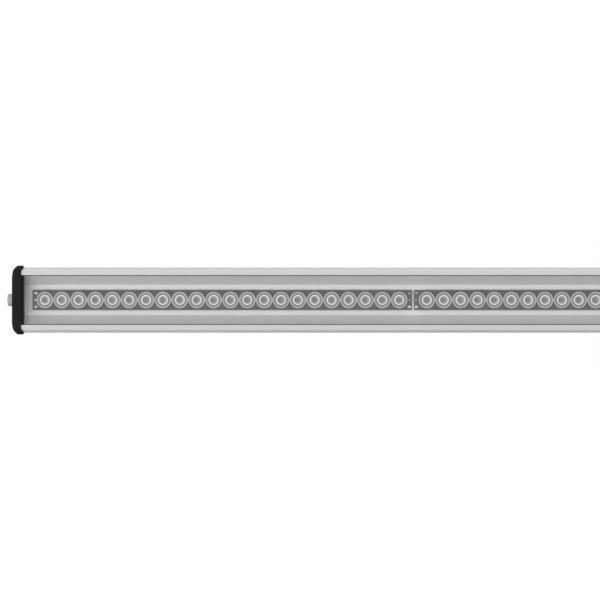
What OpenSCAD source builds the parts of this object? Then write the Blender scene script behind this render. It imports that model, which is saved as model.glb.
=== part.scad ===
// Outdoor wall washer light: an extruded aluminium profile with two lensed LED boards behind
// glass, closed by moulded end caps, on two tilting brackets that clamp the slot in its back.
// X runs along the lamp, -Y is the way it shines and +Z is up.
// The origin is the middle of the four wall holes, on the wall.

/* [Profile] */
// Height of the extruded housing
profile_h = 42.65; // [41.5:0.05:44]
// Depth of the chamber for the driver, behind the front channel
chamber_d = 13.6; // [13.2:0.1:17.6]
// Cut length of the housing
profile_l = 511.8; // [480:0.2:600]
// Thickness of the housing walls
wall = 2; // [1.8:0.1:2.2]
// Radius of the front corners
front_corner_r = 2.6; // [1.8:0.1:2.8]
// Radius of the back corners
back_corner_r = 1.5; // [1:0.1:2]
// Bore of the screw ports that run through the housing
port_bore_d = 2.9; // [2.6:0.1:3.1]
// Wall round each screw port
port_wall = 1.55; // [1.3:0.05:1.7]

/* [Front channel] */
// Height of each front rail
rail_h = 5.025; // [4.8:0.025:5.6]
// Thickness of the rails in front of the glass
rail_t = 2; // [1.6:0.1:2.4]
// Step from each rail in to the channel behind the glass
mouth_step = 0.4; // [0.2:0.1:0.8]
// Width of the ledges beside the boards
ledge_w = 3; // [2.2:0.1:3.8]
// Depth of the ledges behind the front rails
ledge_depth = 15.5; // [15.2:0.1:16.2]

/* [Glass] */
// Thickness of the front glass
glass_t = 4; // [3:0.1:4.2]
// How far the glass reaches in behind each rail
glass_lap = 2.2; // [1.4:0.1:2.4]
// Thickness of the silicone round the long edges of the glass
seal_t = 0.4; // [0.3:0.05:0.6]
// How far the silicone shows past the rails
seal_bead = 0.6; // [0.3:0.05:0.8]

/* [LED boards] */
// Distance from the end of the housing to the end of its LED board
board_end_gap = 6.6; // [6.4:0.1:9]
// Width of the LED boards
board_w = 13.2; // [12.8:0.1:14]
// Thickness of the LED boards
board_t = 1; // [0.8:0.1:1.6]
// Gap between the two boards, at the middle of the lamp
board_gap = 1.4; // [1:0.1:2.4]
// Thickness of the heat-conducting tape under the boards
tape_t = 0.2; // [0.1:0.05:0.4]
// Distance from lens to lens
lens_pitch = 11.04; // [11.02:0.01:11.1]
// Diameter of one lens
lens_d = 11; // [10.6:0.05:11]
// Height of the lenses above the boards
lens_h = 6; // [5.6:0.1:6.4]
// Side of one LED package
led_w = 3; // [2.6:0.1:3.2]

/* [End caps] */
// Thickness of the caps beyond the housing
cap_t = 6; // [5.2:0.1:7]
// How far the cap rim laps over the housing at its front corners
cap_lap = 1.6; // [1:0.1:4]
// Distance behind the front rails at which the lap runs out
cap_lap_depth = 26; // [12:1:30]
// Thickness of the cap rim at the front
cap_rim = 1.175; // [0.9:0.025:1.6]
// Thickness of the cap rim at the back, where the caps taper towards the wall
cap_back_rim = 0.3; // [0.2:0.05:0.9]
// Length along X of the rounding at the outer edges of the caps
cap_round_l = 5.2; // [2:0.1:5.2]
// Height of the rounding at the upper and lower edges of the caps
cap_round_h = 6; // [3:0.1:6.4]
// Depth of the rounding at the front and back edges of the caps
cap_round_w = 1.6; // [1:0.1:3]
// How far the caps reach in between the front rails
plug_t = 1.9; // [1:0.05:2.4]
// Thickness of the cap gaskets
gasket_t = 0.8; // [0.5:0.1:1.2]
// Length of the cap screws
cap_screw_l = 16; // [12:1:20]

/* [Vent and cable gland] */
// Diameter of the vent plug's head
vent_d = 8.15; // [7.6:0.05:9]
// How far the vent plug stands out of its cap
vent_h = 4.7; // [3:0.1:6]
// Thread of the vent plug
vent_thread_d = 6; // [5:0.5:6]
// Thread of the cable gland
gland_thread_d = 12; // [11:0.5:12]
// Width across the flats of the gland body
gland_w = 15; // [14.5:0.5:17]
// Width across the flats of the gland nut
gland_nut_w = 14; // [13:0.5:15]
// Cable diameter that the gland takes
cable_d = 6; // [5:0.1:6.4]

/* [Driver] */
// Length of the driver board
driver_l = 92; // [84:1:100]
// Thickness of the driver board
driver_t = 1.6; // [1.2:0.1:1.6]

/* [Brackets] */
// Distance between the two brackets
bracket_spacing = 300; // [120:1:330]
// Height of the bracket against the wall
bracket_h = 40; // [38:0.5:41]
// Thickness of the bracket sheet
bracket_t = 2.5; // [2:0.1:3]
// Gap between the two ears of a bracket
ear_gap = 12.6; // [12.6:0.1:13.4]
// Diameter of the wall screw holes
wall_hole_d = 5.5; // [4.5:0.1:6]
// Distance between the two wall holes of a bracket
wall_hole_spacing = 26; // [25:0.5:28]
// Distance from the wall to the tilt pivot
pivot_wall = 30; // [30:0.5:40]
// Distance from the tilt pivot to the back of the housing
pivot_lamp = 14; // [14:0.5:18]
// Diameter of the pivot bolts
pivot_d = 6; // [5:0.5:6]

/* [Rear slot and clamps] */
// Width of the slot in the back of the housing
slot_w = 8.2; // [7.8:0.1:8.6]
// Thickness of the lips beside the slot
slot_lip_t = 2.2; // [1.8:0.1:2.4]
// Width of the slot behind its lips
slot_inner_w = 15; // [14.6:0.1:16]
// Depth of the slot behind its lips
slot_inner_d = 5.5; // [5.2:0.1:5.8]
// Length of the clamp shoes
shoe_l = 40; // [40:1:50]
// Width of the clamp shoes
shoe_w = 18; // [14:0.5:18]
// Thickness of the clamp shoes
shoe_t = 3.5; // [3:0.1:3.8]
// Diameter of the clamp screws
clamp_screw_d = 5; // [4:0.5:5]
// Distance between the two clamp screws of a shoe
clamp_screw_spacing = 29; // [29:0.5:31]

/* [Hidden] */

// Facets of round pieces
$fn = 48;
// Segments in a quarter round
quarter_steps = 8;
// Segments in the quarter round of a small dome
dome_steps = 4;
// Extra length of cuts, so that they pass right through
overrun = 1;
// Clearance between a thread or shank and its hole
thread_fit = 0.05;
// Gap between pieces that move on each other
running_gap = 0.3;

// Places along the depth are measured back from the front rails
half_l = profile_l / 2;
half_h = profile_h / 2;
board_clearance = 0.2;
bed_h = board_w + 2 * board_clearance;
bed_depth = ledge_depth + board_t + tape_t;
chamber_front = bed_depth + wall;
chamber_mid = chamber_front + chamber_d / 2;
slot_floor = chamber_front + chamber_d + wall;
profile_d = slot_floor + slot_inner_d + slot_lip_t;
back_y = -(pivot_wall + pivot_lamp);
front_y = back_y - profile_d;

// Front channel and chamber
rail_gap_h = profile_h - 2 * rail_h;
mouth_h = rail_gap_h - 2 * mouth_step;
ledge_h = bed_h + 2 * ledge_w;
glass_h = rail_gap_h + 2 * glass_lap;
groove_back = rail_t + glass_t + 2 * seal_t;
groove_h = glass_h + 2 * seal_t;
chamber_half_h = half_h - wall;
slope_run = ledge_depth - groove_back;
slope_rise = (mouth_h - ledge_h) / 2;
slope_length = norm([slope_run, slope_rise]);
slope_wall_h = wall * slope_length / slope_run;
slope_back_h = mouth_h / 2 + slope_wall_h;
slot_wall_half_h = slot_inner_w / 2 + wall;
port_bore_r = port_bore_d / 2;
port_r = port_bore_r + port_wall;
port_front = groove_back + wall + port_bore_r;
port_back = profile_d - port_r - port_wall / 2;
port_h = half_h - port_r - port_wall / 2;
ports = [[port_front, port_h], [port_front, -port_h], [port_back, port_h], [port_back, -port_h]];

// LED boards, lenses and their wiring
board_l = half_l - board_end_gap - board_gap / 2;
board_side = (board_gap + board_l) / 2;
lens_end_gap = 1.8;
lens_count = floor((board_l - lens_d - 2 * lens_end_gap) / lens_pitch) + 1;
lens_span = lens_pitch * (lens_count - 1);
lens_foot_share = 0.6;
lens_neck_share = 0.92;
lens_rim_share = 0.83;
lens_ring_share = 0.7;
lens_well_share = 0.5;
lens_well_floor_share = 0.45;
lens_pocket_share = 0.43;
lens_foot_h = 0.8;
lens_rim_t = 0.8;
lens_groove_t = 0.35;
lens_well_t = 2.6;
lens_pocket_t = 1.9;
lens_bridge_w = 2.4;
led_t = 0.7;
led_dome_r = 1.3;
led_dome_h = 0.8;
pad_l = 1.9;
pad_w = 1.8;
pad_t = 0.1;
pad_inset = 1.75;
pad_row = 4.5;
link_r = 0.3;
link_slant = 0.5;
joint_r = 0.85;
joint_h = 0.75;
lead_r = 0.5;
lead_sides = 8;
lead_steps = 4;

// Hole in the channel floor where the supply leads pass to the chamber
grommet_side_gap = 0.2;
grommet_lip = 0.4;
grommet_wall = 0.35;
grommet_flange_r = (board_end_gap - plug_t) / 2 - grommet_side_gap;
grommet_body_r = grommet_flange_r - grommet_lip;
grommet_bore_r = grommet_body_r - grommet_wall;
grommet_flange_t = 0.5;
grommet_x = half_l - (board_end_gap + plug_t) / 2;

// End caps and what they hold
cap_side_clearance = 0.05;
plug_clearance = 0.15;
gasket_inset = 1;
gasket_rim = 0.5;
cap_end = half_l + cap_t;
cap_screw_r = port_bore_r - thread_fit;
cap_screw_hole_r = 1.9;
cap_head_r = 3.3;
cap_head_h = 2;
cap_head_hole_r = 3.5;
cap_web = 1.2;
cap_head_seat = half_l + gasket_t + cap_web;
cap_socket_r = 1.5;
cap_socket_depth = 1.2;
vent_thread_r = vent_thread_d / 2;
vent_seal_r = 3.85;
vent_seal_t = 0.8;
vent_reach = 1;
vent_edge_r = 1.1;
vent_crown = 0.4;
vent_pore_r = 0.8;
gland_thread_r = gland_thread_d / 2;
gland_reach = 1.2;
gland_seal_t = 1;
gland_seal_r = 7.2;
gland_hex_t = 4;
cable_r = cable_d / 2;
gland_bore_gap = 0.4;
gland_bore_r = cable_r + gland_bore_gap;
gland_insert_t = 1.4;
gland_insert_r = cable_r + gland_insert_t;
gland_insert_l = 7.5;
gland_neck_t = 0.8;
gland_neck_r = gland_insert_r + gland_neck_t;
gland_neck_l = 5;
gland_nut_l = 9.5;
gland_nut_gap = 0.4;
gland_nut_crown_l = 2.4;
gland_nut_mouth_gap = 0.6;
gland_nut_mouth_r = cable_r + gland_nut_mouth_gap;
gland_nut_rim = 1.8;
gland_nut_end_r = gland_nut_mouth_r + gland_nut_rim;
gland_hex_start = cap_end + gland_seal_t;
gland_hex_end = gland_hex_start + gland_hex_t;
gland_nut_start = gland_hex_end + gland_nut_gap;
gland_nut_end = gland_nut_start + gland_nut_l;
gland_insert_end = gland_nut_end - gland_nut_crown_l;
gland_insert_start = gland_insert_end - gland_insert_l;

// Driver, in the chamber near the cable gland
driver_end_gap = 12;
driver_x1 = half_l - driver_end_gap;
driver_x0 = driver_x1 - driver_l;
driver_x = (driver_x0 + driver_x1) / 2;
tray_t = 1;
tray_margin = 2;
tray_side_gap = 2.325;
tray_wall_h = 5;
driver_w = 2 * (chamber_half_h - tray_side_gap - tray_margin);
post_h = 2;
post_r = 2.4;
post_bore_r = 0.95;
post_inset = 3.4;
driver_face = chamber_front + tray_t + post_h + driver_t;
driver_air = 1.4;
driver_clear_h = chamber_front + chamber_d - driver_face - driver_air;
driver_lead_in = 7.4;
driver_piece_gap = 2;
driver_hole_r = 1.2;
driver_screw_r = 0.9;
driver_screw_l = 4;
driver_head_r = 2;
driver_head_h = 1.4;
terminal_l = 9;
terminal_h_share = 0.98;
terminal_h = driver_clear_h * terminal_h_share;
terminal_inset = 2;
terminal_port_r = 1.1;
terminal_screw_r = 1.4;
terminal_screw_depth = 1.2;
terminal_mid_gap = 2;
terminal_screw_gap = 0.6;
terminal_w = driver_w / 2 - post_inset - driver_head_r - terminal_screw_gap - terminal_mid_gap / 2;
terminal_row = (terminal_mid_gap + terminal_w) / 2;
fuse_r = 3.6;
fuse_h_share = 0.92;
capacitor_r = 4;
capacitor_groove_t = 0.4;
capacitor_groove_h = 1.4;
inductor_w = 12;
inductor_h_share = 0.85;
inductor_well_r = 4.4;
inductor_well_t = 0.6;
inductor_corner = 2.2;
transistor_l = 6;
transistor_w = 6.6;
transistor_t = 2.3;
transistor_tab_l = 1.4;
transistor_tab_t = 0.5;
controller_l = 5;
controller_w = 4;
controller_t = 1.6;
controller_leg_l = 1;
controller_leg_w = 0.4;
controller_leg_t = 0.6;
controller_pitch = 1.27;
controller_legs = 4;
diode_l = 4.4;
diode_w = 3.6;
diode_t = 2.2;
row_share = 0.24;

// Places along the driver board: each piece stands a gap away from the one before
capacitor_in_x = driver_lead_in + capacitor_r;
inductor_in_x = capacitor_in_x + capacitor_r + driver_piece_gap + inductor_w / 2;
inductor_out_x = inductor_in_x + inductor_w + driver_piece_gap;
capacitor_out_x = inductor_out_x + inductor_w / 2 + driver_piece_gap + capacitor_r;
fuse_x = capacitor_out_x + capacitor_r + driver_piece_gap + fuse_r;

// Brackets, pivots and clamps
bracket_x = bracket_spacing / 2;
ear_root_share = 0.3;
ear_clearance = 2.2;
ear_r = pivot_lamp - running_gap - shoe_t - ear_clearance;
bracket_w = ear_gap + 2 * bracket_t;
pivot_r = pivot_d / 2;
pivot_y = -pivot_wall;
lug_w = ear_gap - 2 * running_gap;
lug_step = 0.5;
lug_r = ear_r - lug_step;
washer_r = 6;
washer_t = 1.2;
pivot_head_r = 5.5;
pivot_head_h = 4;
pivot_nut_h = 5;
pivot_tail = 1.5;
pivot_stack = bracket_w / 2 + washer_t;
shoe_front = back_y + running_gap;
shoe_back = shoe_front + shoe_t;
shoe_rib_h = 1.5;
shoe_rib_w = slot_w - 2 * running_gap;
slot_nut_l = 36;
slot_nut_w = slot_inner_w - 2 * running_gap;
slot_nut_t = 4;
slot_nut_back = back_y - slot_lip_t - running_gap;
clamp_screw_r = clamp_screw_d / 2;
clamp_screw_end = 0.3;
clamp_head_r = 4.5;
clamp_head_h = 2.75;
clamp_socket_r = 1.7;
clamp_socket_depth = 1.6;
hex_sides = 6;

// Points of an arc round a centre, from angle a0 to a1
function arc(centre, rx, ry, a0, a1, steps = quarter_steps) =
    [for (i = [0:steps]) let (a = a0 + (a1 - a0) * i / steps)
        centre + [rx * cos(a), ry * sin(a)]];
// The upper half of an outline, followed by its mirror image below
function mirrored(points) =
    concat(points, [for (i = [len(points) - 1:-1:0]) [points[i].x, -points[i].y]]);
function unit(v) = v / norm(v);

// Draws its children at a place: x along the lamp, depth behind the front rails, height
module at(x, depth, height) {
    translate([x, front_y + depth, height]) children();
}
// Extrudes a section of depth and height along the lamp
module along_x(x0, x1) {
    translate([x0, front_y, 0])
        rotate([90, 0, 90])
            linear_extrude(height = x1 - x0)
                children();
}
// Turns a piece that stands up so that it points forward, back or along the lamp
module forward() { rotate([90, 0, 0]) children(); }
module backward() { rotate([-90, 0, 0]) children(); }
module rightward() { rotate([0, 90, 0]) children(); }
// A block centred in two directions, with its foot at zero
module block(l, w, h) {
    translate([-l / 2, -w / 2, 0]) cube([l, w, h]);
}
// A pipe with a bore
module ring(outer_r, inner_r, h) {
    difference() {
        cylinder(r = outer_r, h = h);
        translate([0, 0, -overrun]) cylinder(r = inner_r, h = h + 2 * overrun);
    }
}
// A hexagon bar, sized over its corners
module hexagon(r, h) {
    cylinder(r = r, h = h, $fn = hex_sides);
}
// A low round dome
module dome(r, h) {
    rotate_extrude() polygon(concat([[0, 0]], arc([0, 0], r, h, 0, 90, dome_steps)));
}

// One ring of points round a path, square to it
function path_ring(path, i, r) =
    let (t = unit(path[min(i + 1, len(path) - 1)] - path[max(i - 1, 0)]),
         side = unit(cross(t, [0, 0, 1])),
         up = cross(side, t))
    [for (k = [0:lead_sides - 1]) let (a = 360 * k / lead_sides)
        path[i] + r * (cos(a) * side + sin(a) * up)];
// A point on the smooth curve through the control points
function curve_point(p, i, t) =
    let (a = p[max(i - 1, 0)], b = p[i], c = p[i + 1], d = p[min(i + 2, len(p) - 1)])
    b + t * (c - a) / 2 + t * t * (a - 5 * b / 2 + 2 * c - d / 2)
        + t * t * t * (3 * b - 3 * c + d - a) / 2;
function curve(p) =
    concat([for (i = [0:len(p) - 2], k = [0:lead_steps - 1]) curve_point(p, i, k / lead_steps)],
        [p[len(p) - 1]]);
// A round wire along a path
module wire(path, r) {
    n = lead_sides;
    m = len(path);
    points = [for (i = [0:m - 1]) each path_ring(path, i, r)];
    sides = [for (i = [0:m - 2], k = [0:n - 1]) each
        [[i * n + k, (i + 1) * n + k, (i + 1) * n + (k + 1) % n],
         [i * n + k, (i + 1) * n + (k + 1) % n, i * n + (k + 1) % n]]];
    ends = [[for (k = [0:n - 1]) k], [for (k = [n - 1:-1:0]) (m - 1) * n + k]];
    polyhedron(points, concat(sides, ends));
}

// Outline of the housing, or of what follows it at a distance outside
function profile_outline(grow) = mirrored(concat(
    arc([front_corner_r, half_h - front_corner_r],
        front_corner_r + grow, front_corner_r + grow, 180, 90),
    arc([profile_d - back_corner_r, half_h - back_corner_r],
        back_corner_r + grow, back_corner_r + grow, 90, 0)));
// Outline of the open channel at the front
function channel_outline(grow, front) = mirrored([
    [front, rail_gap_h / 2 + grow],
    [groove_back, mouth_h / 2 + grow],
    [ledge_depth + grow, ledge_h / 2 + grow],
    [ledge_depth + grow, bed_h / 2 + grow],
    [bed_depth + grow, bed_h / 2 + grow]]);

// Outline of the rear slot, with room round it and open to the back
function slot_outline(grow) = mirrored([
    [profile_d + overrun, slot_inner_w / 2 + grow],
    [slot_floor - grow, slot_inner_w / 2 + grow]]);

module housing_section() {
    difference() {
        polygon(profile_outline(0));
        difference() {
            polygon(mirrored([
                [chamber_front, slope_back_h - (chamber_front - groove_back) * slope_rise / slope_run],
                [groove_back + wall, slope_back_h - wall * slope_rise / slope_run],
                [groove_back + wall, chamber_half_h],
                [profile_d - wall, chamber_half_h],
                [profile_d - wall, slot_wall_half_h],
                [slot_floor - wall, slot_wall_half_h]]));
            for (port = ports)
                translate(port) circle(r = port_r);
        }
        for (port = ports)
            translate(port) circle(r = port_bore_r);
        polygon(mirrored([
            [-overrun, rail_gap_h / 2],
            [rail_t, rail_gap_h / 2],
            [rail_t, groove_h / 2],
            [groove_back, groove_h / 2],
            [groove_back, mouth_h / 2],
            [ledge_depth, ledge_h / 2],
            [ledge_depth, bed_h / 2],
            [bed_depth, bed_h / 2]]));
        polygon(mirrored([
            [profile_d + overrun, slot_w / 2],
            [profile_d - slot_lip_t, slot_w / 2],
            [profile_d - slot_lip_t, slot_inner_w / 2],
            [slot_floor, slot_inner_w / 2]]));
    }
}
module housing() {
    color("silver")
        difference() {
            along_x(-half_l, half_l) housing_section();
            at(grommet_x, bed_depth - overrun, 0)
                backward() cylinder(r = grommet_body_r + thread_fit, h = wall + 2 * overrun);
        }
}

module front_glass() {
    glass_half_l = half_l - plug_t - plug_clearance;
    color("azure", 0.3)
        at(-glass_half_l, rail_t + seal_t, -glass_h / 2)
            cube([2 * glass_half_l, glass_t, glass_h]);
}
module glass_seal() {
    seal_half_l = half_l - plug_t - plug_clearance;
    color("dimgray")
        along_x(-seal_half_l, seal_half_l)
            difference() {
                translate([rail_t, rail_gap_h / 2 - seal_bead])
                    square([groove_back - rail_t, (groove_h - rail_gap_h) / 2 + seal_bead]);
                translate([rail_t + seal_t, 0])
                    square([glass_t, glass_h / 2]);
            }
}
module glass_seal_upper() { glass_seal(); }
module glass_seal_lower() { mirror([0, 0, 1]) glass_seal(); }

// Outer shape of the left cap as seen along the lamp, from the front and from above
function cap_outline() = mirrored(concat(
    arc([front_corner_r, half_h - front_corner_r],
        front_corner_r + cap_rim, front_corner_r + cap_rim, 180, 90),
    arc([profile_d - back_corner_r, half_h - back_corner_r],
        back_corner_r + cap_back_rim, back_corner_r + cap_back_rim, 90, 0)));
module cap_front_view() {
    edge_h = half_h + cap_rim;
    polygon(mirrored(concat(
        arc([cap_round_l - cap_end, edge_h - cap_round_h], cap_round_l, cap_round_h, 180, 90),
        [[cap_lap - half_l, edge_h]])));
}
module cap_top_view() {
    front = front_y - cap_rim;
    back = back_y + cap_back_rim;
    x = cap_round_l - cap_end;
    polygon(concat(
        arc([x, back - cap_round_w], cap_round_l, cap_round_w, 90, 180),
        arc([x, front + cap_round_w], cap_round_l, cap_round_w, 180, 270),
        [[-half_l, front], [-half_l, front_y],
         [cap_lap - half_l, front_y + front_corner_r],
         [-half_l, front_y + cap_lap_depth], [-half_l, back]]));
}
// The rounded shell of the left cap, which laps over the front half of the housing's end
module cap_shell() {
    difference() {
        intersection() {
            along_x(-cap_end, cap_lap - half_l)
                polygon(cap_outline());
            translate([0, back_y + profile_d, 0])
                forward() linear_extrude(height = 3 * profile_d) cap_front_view();
            translate([0, 0, -profile_h])
                linear_extrude(height = 2 * profile_h) cap_top_view();
        }
        along_x(-half_l, cap_lap - half_l + overrun)
            polygon(profile_outline(cap_side_clearance));
    }
}
// The cap at the left end, with a hole of its own for what it holds
module end_cap(hole_r, seat_r, seat_t) {
    difference() {
        union() {
            cap_shell();
            along_x(-half_l - overrun, plug_t - half_l)
                polygon(channel_outline(-plug_clearance, 0));
        }
        along_x(-half_l - gasket_t, -half_l + thread_fit)
            difference() {
                polygon(profile_outline(-gasket_inset));
                polygon(channel_outline(gasket_rim, -cap_rim - overrun));
                polygon(slot_outline(gasket_rim));
            }
        for (port = ports) {
            at(-cap_end - overrun, port.x, port.y)
                rightward() cylinder(r = cap_screw_hole_r, h = cap_t + 2 * overrun);
            at(-cap_end - overrun, port.x, port.y)
                rightward() cylinder(r = cap_head_hole_r, h = cap_end + overrun - cap_head_seat);
        }
        at(-cap_end - overrun, chamber_mid, 0)
            rightward() cylinder(r = hole_r, h = cap_t + 2 * overrun);
        at(-cap_end - overrun, chamber_mid, 0)
            rightward() cylinder(r = seat_r, h = seat_t + overrun);
    }
}
module end_cap_left() {
    color("black") end_cap(vent_thread_r + thread_fit, vent_seal_r, vent_seal_t);
}
module end_cap_right() {
    hole_r = gland_thread_r + thread_fit;
    color("black") mirror([1, 0, 0]) end_cap(hole_r, hole_r, 0);
}
module cap_gasket(hole_r) {
    color("darkgray")
        along_x(-half_l - gasket_t, -half_l)
            difference() {
                polygon(profile_outline(-gasket_inset));
                polygon(channel_outline(gasket_rim, -overrun));
                polygon(slot_outline(gasket_rim));
                for (port = ports)
                    translate(port) circle(r = cap_screw_hole_r);
                translate([chamber_mid, 0]) circle(r = hole_r);
            }
}
module cap_gasket_left() { cap_gasket(vent_thread_r + running_gap); }
module cap_gasket_right() { mirror([1, 0, 0]) cap_gasket(gland_thread_r + running_gap); }

module cap_screws() {
    color("gainsboro")
        for (port = ports)
            at(-cap_head_seat, port.x, port.y) {
                rightward() cylinder(r = cap_screw_r, h = cap_screw_l);
                rotate([0, -90, 0])
                    difference() {
                        cylinder(r = cap_head_r, h = cap_head_h);
                        translate([0, 0, cap_head_h - cap_socket_depth])
                            hexagon(cap_socket_r, cap_socket_depth + overrun);
                    }
            }
}
module cap_screws_left() { cap_screws(); }
module cap_screws_right() { mirror([1, 0, 0]) cap_screws(); }

module vent_plug() {
    head_r = vent_d / 2;
    color("gray")
        at(-cap_end, chamber_mid, 0)
            rotate([0, -90, 0])
                difference() {
                    union() {
                        translate([0, 0, -cap_t - vent_reach])
                            cylinder(r = vent_thread_r, h = cap_t + vent_reach);
                        rotate_extrude()
                            polygon(concat(
                                [[0, 0], [head_r, 0]],
                                arc([head_r - vent_edge_r, vent_h - vent_crown - vent_edge_r],
                                    vent_edge_r, vent_edge_r, 0, 90),
                                [[0, vent_h]]));
                    }
                    translate([0, 0, -cap_t - vent_reach - overrun])
                        cylinder(r = vent_pore_r, h = cap_t + vent_reach + overrun);
                }
}
module vent_seal() {
    color("darkslategray")
        at(-cap_end, chamber_mid, 0)
            rightward() ring(vent_seal_r, vent_thread_r + thread_fit, vent_seal_t);
}

// Draws its children on the gland's axis, with height running out along the lamp
module on_gland(x) {
    at(x, chamber_mid, 0) rightward() children();
}
module gland_body() {
    thread_start = half_l - gland_reach;
    color("dimgray")
        difference() {
            union() {
                on_gland(thread_start)
                    cylinder(r = gland_thread_r, h = gland_hex_start - thread_start);
                on_gland(gland_hex_start)
                    hexagon(gland_w / sqrt(3), gland_hex_t);
                on_gland(gland_hex_end)
                    cylinder(r = gland_neck_r, h = gland_neck_l);
            }
            on_gland(thread_start - overrun)
                cylinder(r = gland_bore_r, h = gland_hex_end + gland_neck_l - thread_start + 2 * overrun);
            on_gland(gland_insert_start)
                cylinder(r = gland_insert_r, h = gland_insert_l + overrun);
        }
}
module gland_nut() {
    inner_r = gland_neck_r + thread_fit;
    color("dimgray")
        difference() {
            intersection() {
                on_gland(gland_nut_start)
                    hexagon(gland_nut_w / sqrt(3), gland_nut_l);
                on_gland(gland_nut_start)
                    rotate_extrude()
                        polygon([[0, 0], [gland_nut_w, 0],
                            [gland_nut_w / sqrt(3), gland_nut_l - gland_nut_crown_l],
                            [gland_nut_end_r, gland_nut_l], [0, gland_nut_l]]);
            }
            on_gland(gland_nut_start - overrun)
                cylinder(r = inner_r, h = gland_nut_l - gland_nut_crown_l + overrun);
            on_gland(gland_nut_start)
                cylinder(r = gland_nut_mouth_r, h = gland_nut_l + overrun);
        }
}
module gland_insert() {
    color("black")
        on_gland(gland_insert_start) ring(gland_insert_r, cable_r, gland_insert_l);
}
module gland_seal() {
    color("darkslategray")
        on_gland(cap_end) ring(gland_seal_r, gland_thread_r + thread_fit, gland_seal_t);
}

module led_board(side) {
    color("darkslategray")
        at(side * board_side, ledge_depth, 0)
            backward() block(board_l, board_w, board_t);
}
module led_board_left() { led_board(-1); }
module led_board_right() { led_board(1); }
module thermal_tape(side) {
    color("lightsteelblue")
        at(side * board_side, ledge_depth + board_t, 0)
            backward() block(board_l, board_w, tape_t);
}
module thermal_tape_left() { thermal_tape(-1); }
module thermal_tape_right() { thermal_tape(1); }
// Draws its children at each lens place of one board, pointing forward from its face
module at_lenses(side, count) {
    for (i = [0:count - 1])
        at(side * board_side - lens_span / 2 + i * lens_pitch, ledge_depth, 0)
            forward() children();
}
module led_chips(side) {
    color("khaki")
        at_lenses(side, lens_count) {
            block(led_w, led_w, led_t);
            translate([0, 0, led_t]) dome(led_dome_r, led_dome_h);
        }
}
module led_chips_left() { led_chips(-1); }
module led_chips_right() { led_chips(1); }
// A collimator: a cup on a round foot, with a rim, a well at the front and a pocket for the LED
module lens() {
    r = lens_d / 2;
    rotate_extrude()
        polygon([
            [r * lens_pocket_share, 0],
            [r * lens_foot_share, 0],
            [r * lens_foot_share, lens_foot_h],
            [r * lens_neck_share, lens_h - lens_rim_t],
            [r, lens_h - lens_rim_t],
            [r, lens_h],
            [r * lens_rim_share, lens_h],
            [r * lens_rim_share, lens_h - lens_groove_t],
            [r * lens_ring_share, lens_h - lens_groove_t],
            [r * (lens_ring_share + lens_well_share) / 2, lens_h],
            [r * lens_well_share, lens_h],
            [r * lens_well_floor_share, lens_h - lens_well_t],
            [0, lens_h - lens_well_t],
            [0, lens_pocket_t],
            [r * lens_pocket_share, lens_pocket_t]]);
}
module lens_strip(side) {
    color("gainsboro") {
        at_lenses(side, lens_count) lens();
        at_lenses(side, lens_count - 1)
            translate([lens_pitch / 2, 0, lens_h - lens_rim_t])
                block(lens_pitch - 2 * lens_d / 2 * lens_rim_share, lens_bridge_w, lens_rim_t);
    }
}
module lens_strip_left() { lens_strip(-1); }
module lens_strip_right() { lens_strip(1); }

// Draws its children on a pad: board side, end of the board, row, pointing forward from its face
module at_pad(side, end, row) {
    at(side * board_side + end * (board_l / 2 - pad_inset), ledge_depth, row * pad_row)
        forward() children();
}
module solder_pads() {
    color("peru")
        for (side = [-1, 1], end = [-1, 1], row = [-1:1])
            at_pad(side, end, row) block(pad_l, pad_w, pad_t);
}
module link_wires() {
    reach = board_gap + 2 * pad_inset;
    color("lightgray")
        for (row = [0, 1]) {
            for (side = [-1, 1])
                at_pad(side, -side, row)
                    translate([0, 0, pad_t]) dome(joint_r, joint_h);
            at(0, ledge_depth - pad_t - link_r, row * pad_row)
                rotate([0, -atan(row * link_slant / reach), 0])
                    rightward() cylinder(r = link_r, h = reach, center = true);
        }
}
// Leads from the outer end of the right board, through the grommet, to the driver's output
function lead_route(side) =
    let (pad_x = board_side + board_l / 2 - pad_inset,
         over = ledge_depth - pad_t - lead_r,
         pair = grommet_bore_r / 2,
         port_x = driver_x1 - terminal_inset,
         port_row = -terminal_row + side * terminal_w / 4,
         drop = driver_face + terminal_h / 2)
    [[pad_x - pad_l / 2, over, side * pad_row],
     [pad_x + pad_l / 2, over, side * pad_row],
     [grommet_x - lead_r, over, side * (pad_row + pair) / 2],
     [grommet_x, bed_depth - grommet_flange_t, side * pair],
     [grommet_x, chamber_front, side * pair],
     [grommet_x, chamber_front + grommet_body_r, side * pair + port_row / 8],
     [grommet_x - grommet_body_r, (chamber_front + drop) / 2, (side * pair + port_row) / 2],
     [(grommet_x + port_x) / 2, drop, port_row],
     [port_x, drop, port_row]];
module supply_leads() {
    color("firebrick")
        for (side = [-1, 1])
            at(0, 0, 0) wire(curve(lead_route(side)), lead_r);
}
module lead_grommet() {
    color("black")
        at(grommet_x, bed_depth - grommet_flange_t, 0)
            backward()
                difference() {
                    union() {
                        cylinder(r = grommet_flange_r, h = grommet_flange_t);
                        cylinder(r = grommet_body_r, h = wall + 2 * grommet_flange_t);
                        translate([0, 0, wall + grommet_flange_t])
                            cylinder(r = grommet_flange_r, h = grommet_flange_t);
                    }
                    translate([0, 0, -overrun])
                        cylinder(r = grommet_bore_r, h = wall + 2 * grommet_flange_t + 2 * overrun);
                }
}

// Draws its children at each of the driver board's four screws, pointing back
module at_posts(depth) {
    for (end = [-1, 1], side = [-1, 1])
        at(driver_x + end * (driver_l / 2 - post_inset), depth, side * (driver_w / 2 - post_inset))
            backward() children();
}
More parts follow.
